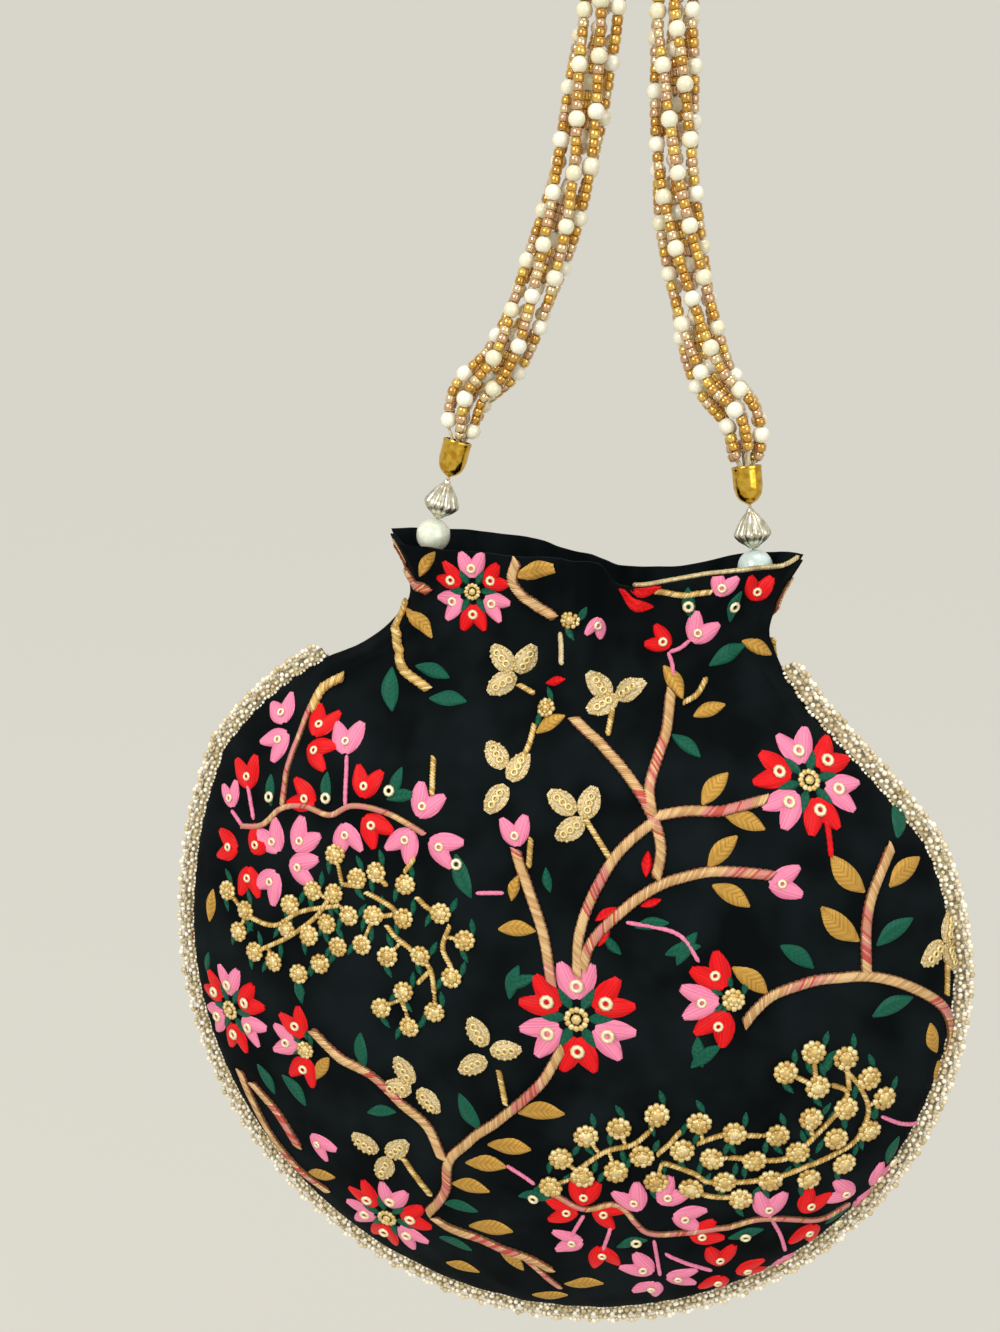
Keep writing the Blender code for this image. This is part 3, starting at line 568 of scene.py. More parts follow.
def panel_point(u, row, front, inset, puckers=1.0):
    """The cloth at u across (-1 to 1) and `row` over the neck, `inset` from its outside."""
    dip = rim_drop(u, front) * np.clip(row / FRILL_HEIGHT, 0, 1)
    angle = u * math.pi / 2
    width, depth = half_width(row) - inset, half_depth(row) - inset
    curve = np.maximum(np.cos(angle), 0.0) ** (2 * PUFF_POWER)
    above = smooth_curve([0.0, 6.0, FRILL_HEIGHT], [0.55, 0.9, 1.25], np.maximum(row, 0.0))
    below = smooth_curve([-62.0, -30.0, -9.0, 0.0], [0.0, 0.45, 0.95, 0.55], np.minimum(row, 0.0))
    ripple = np.where(row > 0, above, below) * PLEAT_DEPTH * pleat_wave(u)
    if front:
        fold = np.exp(-(((u - FOLD_PLACE - 0.045) / 0.04) ** 2))
        ripple = ripple - FOLD_DEPTH * fold * smooth_curve([-26.0, 2.0, FRILL_HEIGHT], [0.0, 0.6, 1.0], row)
    x = width * np.sin(angle) + slouch(row) * np.abs(np.sin(angle))
    seat = 0.35 * np.sin(0.31 * x + 1.0) * np.sin(0.27 * row) + 0.25 * np.sin(0.55 * x + 0.4 * row)
    ripple = ripple + puckers * seat * np.clip(5 * (1 - np.abs(u)), 0, 1) * np.clip(-row / 30, 0, 1)
    y = SEAM_GAP + np.maximum(depth * curve + ripple * curve**0.5, 0.0)
    tilt = RIM_TILT * x * np.clip(row / FRILL_HEIGHT, 0, 1)
    return x, (-y if front else y), NECK_Z + row - dip + tilt


# %% Panels
COLUMNS, FRILL_ROWS, SHOULDER_ROWS, DISC_ROWS = 168, 20, 36, 52


def panel_rows():
    """The heights of the panel's rows over the neck, from the rim down."""
    frill = np.linspace(FRILL_HEIGHT, 0, FRILL_ROWS, endpoint=False)
    shoulder = np.linspace(0, -SHOULDER_DROP, SHOULDER_ROWS, endpoint=False)
    start = math.acos((NECK_TO_CENTRE - SHOULDER_DROP) / DISC_RADIUS)
    turns = np.linspace(start, math.pi - 0.015, DISC_ROWS)
    return np.concatenate([frill, shoulder, -NECK_TO_CENTRE + DISC_RADIUS * np.cos(turns)])


def panel(name, front):
    """One panel as a closed cloth shell. Gives the piece and its outer points and faces."""
    rows, us = panel_rows(), np.linspace(-1, 1, COLUMNS + 1)
    per, size = COLUMNS + 1, len(rows) * (COLUMNS + 1)
    layers = []
    for inset in (0.0, CLOTH):
        u, row = np.meshgrid(us, rows)
        x, y, z = panel_point(u.ravel(), row.ravel(), front, inset)
        layers.append(np.stack([x, y, z], axis=1))
    points = np.concatenate(layers)
    faces = []
    for base in (0, size):
        faces += quads(len(rows), per, base, flip=(base == 0) != front)
    outer = faces[: len(faces) // 2]
    for i in range(COLUMNS):
        faces.append((i, i + 1, size + i + 1, size + i))
        low = (len(rows) - 1) * per + i
        faces.append((low, size + low, size + low + 1, low + 1))
    for side in (0, COLUMNS):
        for j in range(len(rows) - 1):
            a, b = j * per + side, (j + 1) * per + side
            faces.append((a, b, size + b, size + a) if side else (a, size + a, size + b, b))
    piece = solid(name, points, faces, VELVET, "bag", [name.replace("_cloth", "")])
    return piece, layers[0], outer


front_cloth, front_points, front_faces = panel("front_panel_cloth", True)
back_cloth, back_points, back_faces = panel("back_panel_cloth", False)
SURFACES = {
    "front": BVHTree.FromPolygons([Vector(p) for p in front_points.tolist()], front_faces),
    "back": BVHTree.FromPolygons([Vector(p) for p in back_points.tolist()], back_faces),
}

# %% Lining


def lining():
    """The inner pocket, seen through the mouth."""
    us, inset, ease, edge = np.linspace(-1, 1, 61), CLOTH + CLEARANCE, 2.0, 0.3
    rows = np.concatenate([np.linspace(-6, -40, 18), np.linspace(-45, -170, 26)])
    layers = []
    for extra in (0.0, LINING):
        for row in rows:
            ring = []
            for front in (True, False):
                z = np.full_like(us, row + (extra if row == rows[-1] else 0))
                angle = us * math.pi / 2
                width = half_width(z) - inset - ease - extra
                amount = PLEAT_DEPTH * smooth_curve([-62.0, -30.0, -9.0], [0.0, 0.45, 0.95], z)
                curve = np.maximum(np.cos(angle), 0) ** (2 * PUFF_POWER)
                room = (half_depth(z) - inset - extra) * curve - 1.15 * amount * curve**0.5
                wave = 0.5 * np.sin(26 * us + (0.7 if front else 2.0)) * np.clip(-row / 9 - 0.4, 0, 1) * curve
                y = np.maximum(SEAM_GAP + room + wave - 0.6 * curve, edge + LINING - extra)
                x = width * np.sin(angle) + slouch(z) * np.abs(np.sin(angle))
                line = np.stack([x, (-y if front else y), NECK_Z + z], axis=1)
                ring.append(line if front else line[::-1])
            layers.append(np.concatenate(ring))
    per, count = 2 * len(us), len(rows)
    faces = []
    for layer in (0, 1):
        base = layer * count * per
        faces += quads(count, per, base, across=layer == 1, closed=True)
        low = base + (count - 1) * per
        for i in range(len(us) - 1):
            faces.append((low + i, low + per - 1 - i, low + per - 2 - i, low + i + 1))
    faces += [(i, (i + 1) % per, count * per + (i + 1) % per, count * per + i) for i in range(per)]
    return solid("lining_satin", np.concatenate(layers), faces, SATIN, "bag", ["lining"])


lining_piece = lining()

# %% [markdown]
# ## Embroidery
# Every motif is placed by a named pixel of the photograph, cast onto the front panel. Petals and leaves
# are padded satin stitch, stems are plied cord couched down, fruits are domes of sequins. The back panel
# carries the same motifs, mirrored.

# %% Seats on the cloth
SEAT_REACH, SEAT_CAST = 6, 14  # a motif's points are cast onto the cloth from this far off, over this length
BEHIND, FAR_CAST = 80, 900  # the same for a seat's fellow on the back and for a pixel


def cloth_at(side, start, way, reach, near):
    """Where a ray meets a panel, or else the panel's place nearest to `near`, and the way the cloth faces."""
    hit, normal, _, _ = SURFACES[side].ray_cast(start, way, reach)
    if hit is None:
        hit, normal, _, _ = SURFACES[side].find_nearest(near)
    return hit, normal


def outward(side, normal):
    """The normal that points away from the bag."""
    return -normal if (normal.y > 0) == (side == "front") else normal


class Seat:
    """A place on a panel: its point, its outward way, and the picture's right and up along the cloth."""

    def __init__(self, side, point, normal):
        self.side, self.point, self.normal = side, point, outward(side, normal)
        across = cam_right if side == "front" else Vector((-cam_right.x, cam_right.y, cam_right.z))
        self.right = (across - self.normal * across.dot(self.normal)).normalized()
        self.up = self.normal.cross(self.right) * (-1 if side == "front" else 1)
        if self.up.z < 0:
            self.up = -self.up

    def lay(self, a, b, height):
        """The cloth under the local place (a, b), raised by `height`."""
        start = self.point + self.right * a + self.up * b + self.normal * SEAT_REACH
        hit, normal = cloth_at(self.side, start, -self.normal, SEAT_CAST, start - self.normal * SEAT_REACH)
        return hit + (-normal if normal.dot(self.normal) < 0 else normal) * height


def seats_at(px, py):
    """The seat under a pixel on the front, and its fellow on the back."""
    way = pixel_ray(px, py)
    hit, normal = cloth_at("front", eye, way, FAR_CAST, eye + way * (-eye.y / way.y))
    other, facing = cloth_at("back", Vector((-hit.x, BEHIND, hit.z)), Vector((0, -1, 0)), FAR_CAST,
                             Vector((-hit.x, 0.5, hit.z)))
    return [Seat("front", hit, normal), Seat("back", other, facing)]


PAD_DEPTH = 0.25  # how far a stitched pad goes into the cloth
CORD_PLIES, CORD_STEP, CORD_RISE = 3, 0.45, 0.55
CHAIN_STEP, CHAIN_STEP_THIN = 0.62, 0.76  # between the chain stitches of a thick and a thin cord
STITCH_WIDTH, STITCH_LENGTH, STITCH_LIFT, STITCH_SLANT = 0.44, 1.28, 0.38, 1.05
# lowest tint and spread of each kind of chain stitch
CHAIN_TINTS = {"tan": (0.0, 0.37), "rosy": (0.38, 0.22), "red": (0.38, 0.13), "gold": (0.65, 0.34)}
STITCHES = {"front": [], "back": []}  # place, way, size and tint of each chain stitch


class Stitchery:
    """Gathers motifs of one colour into one mesh for each panel."""

    def __init__(self, name, look):
        self.name, self.look = name, look
        self.parts = {"front": ([], [], []), "back": ([], [], [])}
        self.reddish = random.Random(name)

    def patch(self, seat, outline, steps_t, steps_s):
        """outline(t, s) gives (a, b, height, across) over a grid from base to tip and side to side."""
        points, faces, across = self.parts[seat.side]
        top, count = len(points), steps_t * steps_s
        for under in (False, True):
            for t in np.linspace(0, 1, steps_t):
                for s in np.linspace(-1, 1, steps_s):
                    a, b, height, threads = outline(t, s)
                    points.append(tuple(seat.lay(a, b, -PAD_DEPTH if under else height)))
                    across.append(threads)
        grid = quads(steps_t, steps_s, across=True)
        rim = list(range(steps_s)) + [j * steps_s + steps_s - 1 for j in range(1, steps_t)]
        rim += [count - 1 - k for k in range(1, steps_s)] + [j * steps_s for j in range(steps_t - 2, 0, -1)]
        shell = grid + [tuple(count + i for i in quad[::-1]) for quad in grid]
        shell += [(a, count + a, count + b, b) for a, b in zip(rim, rim[1:] + rim[:1])]
        for quad in shell:
            quad = tuple(top + i for i in quad)
            faces.append(quad if seat.side == "front" else quad[::-1])

    def cord(self, side, path, ups, radius):
        """A plied cord that lies flat on the cloth, with chain stitches over it where it is a stem."""
        points, faces, across = self.parts[side]
        base = len(points)
        flat = (ups, min(1.0, CORD_RISE / radius))
        more, sides, threads = tube(path, radius, 10, CORD_PLIES, 1.8 + 1.2 * radius, flat)
        points.extend(tuple(p) for p in more)
        across.extend(threads)
        faces.extend(tuple(i + base for i in f) for f in sides)
        if self.name.split("_")[1] in ("stems", "gold"):
            self.chain(side, np.array(path), np.array(ups), radius)

    def chain(self, side, path, ups, radius):
        """Slanted turns of thread over a cord, rosy over some lengths."""
        run = distances(path)
        phase = self.reddish.uniform(0, 6.3)
        for along in np.arange(0.3, run[-1] - 0.2, CHAIN_STEP if radius > 0.7 else CHAIN_STEP_THIN):
            nearer, centre, further = (at_distance(along + shift, run, path) for shift in (-0.5, 0.0, 0.5))
            up_here = ups[min(len(ups) - 1, int(along / run[-1] * len(ups)))]
            way = (further - nearer) / max(np.linalg.norm(further - nearer), 1e-6)
            aside = np.cross(up_here, way)
            tone = "gold" if "gold" in self.name else "tan"
            if tone == "tan" and math.sin(0.16 * along + phase) > (0.55 if radius > 1 else -0.9) and rng.random() < 0.8:
                tone = "rosy" if radius > 1 else "red"
            low, spread = CHAIN_TINTS[tone]
            STITCHES[side].append((centre + STITCH_LIFT * up_here, way + STITCH_SLANT * aside,
                                   (STITCH_WIDTH, STITCH_WIDTH, STITCH_LENGTH * radius), low + spread * rng.random()))

    def finish(self):
        for side, (points, faces, across) in self.parts.items():
            if points:
                solid(f"{self.name}_{side}", points, faces, self.look, "bag",
                      attributes={"across": across})


WORK = {
    "red": Stitchery("embroidery_red", RED), "pink": Stitchery("embroidery_rose", PINK),
    "green": Stitchery("embroidery_green", GREEN), "gold": Stitchery("embroidery_gold", GOLD_LEAF),
    "rope": Stitchery("embroidery_stems", ROPE), "cream": Stitchery("embroidery_cream", CREAM),
}
RINGS, GRAINS = [], []  # ring sequins and small sequins: seat, a, b, radius, tint and rise
RING_RISE = 0.85
FINE_LEAF = 6.5  # a longer leaf has a finer grid


def turned(a, b, angle):
    """(a, b) turned about the seat."""
    return a * math.cos(angle) - b * math.sin(angle), a * math.sin(angle) + b * math.cos(angle)


def lobe(seat, colour, at, angle, length, width, height):
    """One oval of satin stitch from `at` outwards, its threads running along it."""

    def outline(t, s):
        wide = width / 2 * math.sin(math.pi * (0.05 + 0.87 * t) ** 0.85) ** 0.75
        reach = length * (t + 0.02 * math.sin(9 * s + 4 * angle) * t)
        rise = height * math.sqrt(max(0.0, 1 - s * s)) * math.sin(math.pi * (0.06 + 0.88 * t)) ** 0.4 + 0.02
        a, b = turned(reach, s * wide, angle)
        return at[0] + a, at[1] + b, rise, s * wide + 7

    WORK[colour].patch(seat, outline, 8, 7)


def petal(seat, colour, at, angle, length, spread=0.42, height=0.7):
    """A heart: two ovals that part from one base."""
    for side in (1, -1):
        lobe(seat, colour, at, angle + side * spread, length, 0.56 * length, height)


def leaf(seat, colour, at, angle, length, width, bend=0.0, height=0.6):
    """A pointed leaf of slanted stitches either side of its rib."""

    def outline(t, s):
        wide = width / 2 * math.sin(math.pi * (0.03 + 0.94 * t)) ** 0.9
        reach = length * (t - 0.5)
        rise = height * math.sqrt(max(0.0, 1 - s * s)) * math.sin(math.pi * (0.04 + 0.92 * t)) ** 0.5 + 0.02
        rise *= 0.55 + 0.45 * min(1.0, abs(s) / 0.35)
        a, b = turned(reach, s * wide + bend * length * math.sin(math.pi * t), angle)
        return at[0] + a, at[1] + b, rise, reach - abs(s * wide) * 0.9 + 20

    WORK[colour].patch(seat, outline, *((9, 7) if length > FINE_LEAF else (7, 5)))


def ring(seat, a, b, radius=1.0, tint=0.1):
    RINGS.append((seat, a, b, radius, tint, RING_RISE))


def stem(pixels, radius, colour, lift):
    """A couched cord through pixels of the photograph, on both panels."""
    pairs = [seats_at(*p) for p in pixels]
    for k, side in enumerate(("front", "back")):
        laid, ups = [], []
        for p in smooth_path([tuple(pair[k].point) for pair in pairs], CORD_STEP):
            hit, normal, _, _ = SURFACES[side].find_nearest(Vector(p))
            normal = outward(side, normal)
            laid.append(tuple(hit + normal * lift))
            ups.append(np.array(normal))
        WORK[colour].cord(side, laid, ups, radius)


# %% Where the motifs are, in pixels of the photograph
FLOWERS = [  # centre, radius in mm, turn of the first petal in degrees, colour of the first petal
    ((577, 1018), 14.6, 92, "pink"), ((808, 781), 13.3, 107, "pink"), ((473, 591), 10.2, 92, "pink"),
    ((388, 1216), 12.6, 80, "pink"), ((232, 1009), 12.4, 95, "pink"),
]
HALF_FLOWERS = [  # centre, then petals as (degrees, colour)
    ((733, 999), 12.0, [(127, "red"), (186, "pink"), (243, "red")]),
    ((309, 1048), 11.0, [(123, "red"), (180, "pink"), (255, "red")]),
]
STEMS = [
    [(573, 718), (603, 746), (626, 773), (649, 809), (661, 846), (656, 879)], [(652, 816), (649, 790), (659, 753),
    (666, 730), (671, 690)], [(656, 819), (619, 852), (593, 895), (580, 932), (577, 975)], [(656, 816), (686, 811),
    (722, 811), (768, 799)], [(583, 968), (590, 945), (613, 919), (656, 887), (706, 872), (774, 875)], [(516, 849),
    (520, 864), (527, 884), (543, 933), (552, 984)], [(891, 846), (875, 885), (866, 925), (866, 975)], [(744, 1024),
    (757, 1008), (771, 996), (812, 981), (868, 976), (911, 987), (944, 1009), (955, 1039), (957, 1062)],
    [(563, 1048), (540, 1084), (507, 1113), (469, 1141), (449, 1161), (446, 1189), (429, 1212)], [(443, 1158),
    (427, 1125), (401, 1102), (371, 1074), (340, 1057), (312, 1029)], [(435, 1217), (469, 1234), (511, 1251),
    (553, 1270)], [(241, 1070), (265, 1122), (298, 1166), (330, 1191)], [(253, 1082), (281, 1116), (300, 1147)],
    [(381, 549), (397, 570), (430, 592)], [(517, 560), (513, 581), (534, 604), (556, 618)],
]
TWIGS = [
    [(586, 820), (610, 858)], [(613, 708), (608, 736)], [(499, 1070), (506, 1104)], [(404, 1158), (432, 1196)],
    [(434, 757), (432, 796)], [(946, 962), (946, 995)], [(518, 684), (535, 694)], [(515, 770), (528, 748),
    (535, 724)], [(655, 591), (684, 595), (712, 592)], [(531, 838), (529, 868)], [(683, 703), (697, 694),
    (707, 677)],
]
THICK_STEMS = [[(392, 592), (397, 637), (402, 666), (429, 690)], [(344, 676), (323, 689), (311, 711)]]
PINK_LINES = [
    [(347, 755), (346, 808)], [(248, 785), (254, 820)], [(232, 810), (243, 826)], [(571, 1236), (584, 1215)],
    [(603, 1250), (611, 1226)], [(654, 1240), (660, 1275)], [(665, 1253), (690, 1264), (712, 1270)], [(769, 1215),
    (780, 1234), (785, 1250)], [(626, 922), (679, 935), (699, 962)], [(476, 893), (504, 893)], [(881, 1116),
    (900, 1123), (919, 1122)], [(507, 1165), (521, 1174), (535, 1184)], [(690, 640), (680, 648), (669, 652)],
    [(668, 652), (672, 664), (673, 676)],
]
FINE_STEMS = [
    [(323, 685), (308, 713), (296, 745), (286, 780), (283, 806)], [(243, 826), (262, 825), (283, 808), (305, 806),
    (330, 815), (352, 806), (385, 812), (405, 822), (425, 834)], [(555, 1194), (584, 1208), (619, 1205),
    (649, 1232), (707, 1229), (761, 1218), (823, 1217), (849, 1202)], [(520, 1253), (540, 1270), (560, 1286)],
]
GOLD_CHAINS = [
    [(571, 1178), (600, 1154), (635, 1143), (651, 1130)], [(657, 1154), (670, 1143), (681, 1130)], [(662, 1162),
    (694, 1173), (707, 1181), (748, 1181), (788, 1173), (823, 1159), (855, 1140), (868, 1111), (860, 1087),
    (844, 1068)], [(697, 1143), (721, 1135), (761, 1135)], [(729, 1157), (788, 1157), (815, 1135), (828, 1122),
    (847, 1092), (831, 1084)], [(366, 892), (392, 907), (400, 916)], [(387, 925), (394, 935), (410, 948),
    (430, 968), (435, 994)], [(417, 897), (427, 907), (438, 912)], [(450, 925), (443, 948), (452, 968)],
    [(430, 971), (417, 984)], [(402, 999), (407, 1012)], [(343, 884), (364, 887)], [(260, 950), (292, 935),
    (318, 915), (333, 894)], [(247, 915), (275, 925), (300, 912), (340, 905)], [(415, 858), (404, 873)],
    [(813, 1054), (816, 1083)], [(789, 1073), (812, 1084)], [(846, 1060), (849, 1090)], [(810, 1121), (812, 1136)],
    [(694, 1190), (714, 1196), (736, 1197)], [(377, 875), (388, 886)], [(374, 918), (395, 914)],
]
GOLD_LEAVES = [  # centre, degrees, length in mm
    (715, 789, 51, 10), (745, 822, -20, 10), (723, 852, 48, 10), (731, 896, -30, 10), (848, 874, 134, 12),
    (840, 924, 138, 12.5), (905, 872, 37, 11), (709, 711, 20, 8), (673, 682, -60, 9), (517, 930, 0, 9),
    (515, 888, 75, 6.5), (542, 1112, 8, 11.5), (509, 1148, 4, 11), (486, 1165, 2, 10.5), (471, 1187, 0, 10),
    (750, 981, -37, 10.5), (934, 1038, 110, 9), (943, 1072, 90, 9), (491, 1229, 6, 11.5), (512, 1261, -45, 8.5),
    (463, 1267, -5, 9), (584, 1284, 8, 10), (550, 1296, 15, 9.5), (321, 1176, 20, 9), (323, 1068, 60, 8),
    (536, 572, 12, 10), (419, 623, -35, 9), (427, 564, 60, 7), (550, 724, 30, 8), (757, 648, -25, 8),
    (212, 905, 80, 9),
]
GREEN_LEAVES = [  # centre, degrees, length in mm
    (392, 689, 92, 11), (433, 672, -20, 9), (448, 700, -12, 10), (901, 817, 74, 12.5), (895, 932, 32, 11),
    (797, 957, -35, 10), (893, 1007, 20, 11), (893, 1150, 75, 9), (686, 746, -40, 8.5), (729, 655, 30, 10),
    (514, 982, 75, 9), (521, 983, 30, 8), (706, 1057, 40, 9), (687, 949, 60, 9), (683, 951, 15, 8.5),
    (652, 925, 10, 8), (470, 1112, 122, 11), (382, 1112, 10, 8), (362, 1051, 95, 10), (266, 1079, -55, 9),
    (294, 1090, -46, 10), (461, 1207, 0, 9), (456, 1243, -5, 9), (463, 876, 110, 11), (397, 783, 70, 8),
    (271, 790, 90, 8), (327, 788, 90, 8), (613, 945, 130, 6), (536, 1197, 10, 9), (632, 1243, 20, 8),
    (746, 1235, 15, 9), (838, 1214, 30, 8), (690, 603, 100, 8), (735, 606, 70, 8), (548, 880, 100, 6),
    (830, 1060, 60, 6), (300, 990, 100, 7), (700, 1052, 100, 8), (402, 797, 10, 8), (208, 962, 80, 6),
]
SEQUIN_LEAVES = [  # lobes, then where they meet
    ([(503, 659), (525, 660), (503, 683)], (516, 674)), ([(497, 756), (518, 768), (497, 798)], (510, 780)),
    ([(563, 803), (589, 804), (571, 829)], (584, 820)), ([(600, 686), (628, 690), (604, 704)], (613, 700)),
    ([(478, 1033), (505, 1050), (474, 1064)], (490, 1054)), ([(405, 1071), (398, 1088), (428, 1100)], (416, 1086)),
    ([(366, 1144), (396, 1150), (385, 1167)], (390, 1156)), ([(948, 928), (934, 953), (950, 955)], (944, 945)),
]
BUDS = [  # centre, colour, degrees of its open end, size in mm
    (785, 883, "pink", 5, 7.0), (515, 832, "pink", 100, 6.5), (282, 710, "pink", 100, 7.0),
    (277, 742, "pink", 215, 7.0), (322, 722, "red", 60, 7.5), (318, 752, "red", 330, 7.0),
    (347, 738, "pink", 85, 7.5), (366, 783, "red", 75, 7.0), (248, 773, "red", 100, 7.5),
    (231, 795, "pink", 105, 6.0), (303, 797, "red", 160, 7.0), (347, 838, "pink", 285, 7.0),
    (374, 828, "red", 310, 7.0), (425, 803, "pink", 60, 7.2), (443, 848, "pink", 335, 7.2),
    (404, 843, "pink", 240, 7.2), (228, 846, "red", 175, 7.0), (249, 881, "red", 270, 7.0),
    (258, 842, "red", 60, 6.5), (272, 838, "pink", 120, 7.5), (303, 838, "pink", 50, 7.5),
    (302, 868, "pink", 350, 7.5), (270, 884, "pink", 235, 7.5), (584, 1193, "red", 85, 7.0),
    (563, 1211, "red", 185, 7.0), (606, 1214, "red", 335, 6.5), (632, 1199, "pink", 120, 7.2),
    (670, 1194, "pink", 50, 7.2), (688, 1218, "pink", 350, 7.2), (569, 1241, "pink", 190, 6.8),
    (603, 1256, "red", 285, 6.8), (705, 1234, "red", 25, 7.0), (640, 1267, "pink", 150, 7.2),
    (650, 1288, "pink", 250, 6.5), (681, 1277, "pink", 0, 7.0), (720, 1256, "red", 90, 7.0),
    (750, 1268, "red", 10, 7.0), (716, 1282, "red", 250, 6.5), (769, 1205, "pink", 85, 7.5),
    (785, 1258, "pink", 280, 7.5), (812, 1202, "red", 60, 7.2), (807, 1233, "red", 250, 7.0),
    (842, 1192, "pink", 160, 7.0), (880, 1174, "pink", 50, 7.0), (868, 1201, "pink", 300, 7.0),
    (723, 585, "pink", 70, 5.5), (757, 588, "red", 80, 6.0), (596, 627, "pink", 250, 4.5),
    (700, 630, "pink", 60, 6.5), (660, 640, "red", 150, 5.5), (321, 1145, "pink", 330, 7.0),
]
RED_LEAVES = [
    (642, 591, 3, 9.0), (637, 606, -12, 8.0), (555, 681, 5, 5.5), (606, 914, 35, 6), (604, 937, 60, 5),
    (651, 903, 20, 5), (647, 864, 85, 6),
]
BERRIES = [  # centre and diameter in mm
    *[(x, y, 5.4) for x, y in (
        (377, 872), (358, 878), (336, 854), (406, 884), (441, 913), (404, 918), (465, 940), (374, 915), (350, 915),
        (328, 923), (363, 944), (339, 946), (388, 956), (421, 955), (452, 977), (321, 963), (300, 973), (310, 935),
        (335, 893), (314, 890), (291, 904), (288, 928), (275, 961), (256, 951), (240, 931), (247, 910), (229, 890),
        (404, 991), (382, 1007), (435, 1011), (410, 1026))],
    *[(x, y, 6.3) for x, y in (
        (785, 1071), (813, 1051), (817, 1086), (845, 1057), (868, 1077), (883, 1097), (845, 1107), (868, 1129),
        (810, 1117), (835, 1137), (843, 1162), (797, 1150), (777, 1134), (754, 1159), (808, 1177), (770, 1179),
        (734, 1132), (724, 1180), (740, 1197), (712, 1157), (699, 1122), (682, 1149), (691, 1187), (657, 1114),
        (642, 1155), (656, 1180), (616, 1170), (619, 1127), (586, 1135), (583, 1175), (561, 1157), (551, 1185))],
    (547, 708, 5.0), (570, 620, 4.5), (733, 999, 5.8), (306, 1049, 5.0),
]
SINGLE_RINGS = [
    (457, 864), (390, 791), (271, 797), (327, 798), (891, 1160), (534, 1197), (688, 606), (733, 606), (636, 1241),
    (745, 1235), (836, 1220),
]
print(len(BERRIES), "fruits,", len(BUDS), "buds,", len(STEMS), "stems")

# %% Flowers, buds and leaves
OTHER = {"pink": "red", "red": "pink"}
PETALS, CENTRE_BEADS, CUP_BEADS = 6, 12, 14
for (px, py), radius, first, colour in FLOWERS:  # lengths inside a flower are shares of its radius
    for seat in seats_at(px, py):
        for k in range(PETALS):
            angle = math.radians(first - 360 / PETALS * k)
            tone = colour if k % 2 == 0 else OTHER[colour]
            petal(seat, tone, turned(0.34 * radius, 0, angle), angle, 0.66 * radius)
            ring(seat, *turned(0.56 * radius, 0, angle), 0.085 * radius)
            between = angle + math.pi / PETALS
            leaf(seat, "green", turned(0.37 * radius, 0, between), between, 0.42 * radius, 0.2 * radius)
        for k in range(CENTRE_BEADS + 1):
            spot = turned(0.16 * radius * (k > 0), 0, 2 * math.pi * k / CENTRE_BEADS)
            GRAINS.append((seat, *spot, (0.062 if k else 0.1) * radius, 0.3 * (k % 3), 0.7 if k else 0.8))
for (px, py), radius, petals in HALF_FLOWERS:
    for seat in seats_at(px, py):
        for degrees, tone in petals:
            angle = math.radians(degrees)
            petal(seat, tone, turned(0.3 * radius, 0, angle), angle, 0.75 * radius)
            ring(seat, *turned(0.6 * radius, 0, angle), 0.9)
        for degrees in (155, 210, 100):
            angle = math.radians(degrees)
            leaf(seat, "green", turned(0.35 * radius, 0, angle), angle, 3.4, 1.5)
for px, py, tone, degrees, size in BUDS:
    for seat in seats_at(px, py):
        angle = math.radians(degrees)
        petal(seat, tone, turned(-0.5 * size, 0, angle), angle, 1.15 * size, 0.42)
        ring(seat, *turned(-0.12 * size, 0, angle), 0.8)
for leaves, tone, slim, bend in ((RED_LEAVES, "red", 0.42, 0.0), (GOLD_LEAVES, "gold", 0.44, 0.05),
                                 (GREEN_LEAVES, "green", 0.40, 0.05)):
    for px, py, degrees, length in leaves:
        for seat in seats_at(px, py):
            leaf(seat, tone, (0, 0), math.radians(degrees), length, slim * length, bend)
for lobes, meet in SEQUIN_LEAVES:
    for px, py in lobes:
        way = math.atan2(-(py - meet[1]), px - meet[0])
        for seat in seats_at(px, py):
            lobe(seat, "cream", turned(-3.6, 0, way), way, 7.8, 5.4, 0.5)
            for k in range(CUP_BEADS):
                turn = 2 * math.pi * k / CUP_BEADS
                spot = turned(0.2 + 3.4 * math.cos(turn), 2.3 * math.sin(turn), way)
                GRAINS.append((seat, *spot, 0.5, 0.1 + 0.3 * (k % 2), 0.35))
            for a in (-1.5, 0.2, 1.9):
                ring(seat, *turned(a, 0, way), 0.75, 0.4)
for px, py in SINGLE_RINGS:
    for seat in seats_at(px, py):
        ring(seat, 0, 0, 1.0)
print(len(RINGS), "rings")

# %% Stems
RED_LINES, CREAM_LINES = [[(826, 817), (831, 857)]], [[(561, 632), (562, 648), (562, 665)]]
for cords, radius, tone, lift in (
        (STEMS, 1.32, "rope", 0.25), (THICK_STEMS, 1.2, "gold", 0.4), (PINK_LINES, 0.5, "pink", 0.15),
        (TWIGS, 0.7, "gold", 0.12), (RED_LINES, 0.7, "red", 0.12), (FINE_STEMS, 0.75, "rope", 0.15),
        (CREAM_LINES, 0.7, "cream", 0.25)):
    for line in cords:
        stem(line, radius, tone, lift)

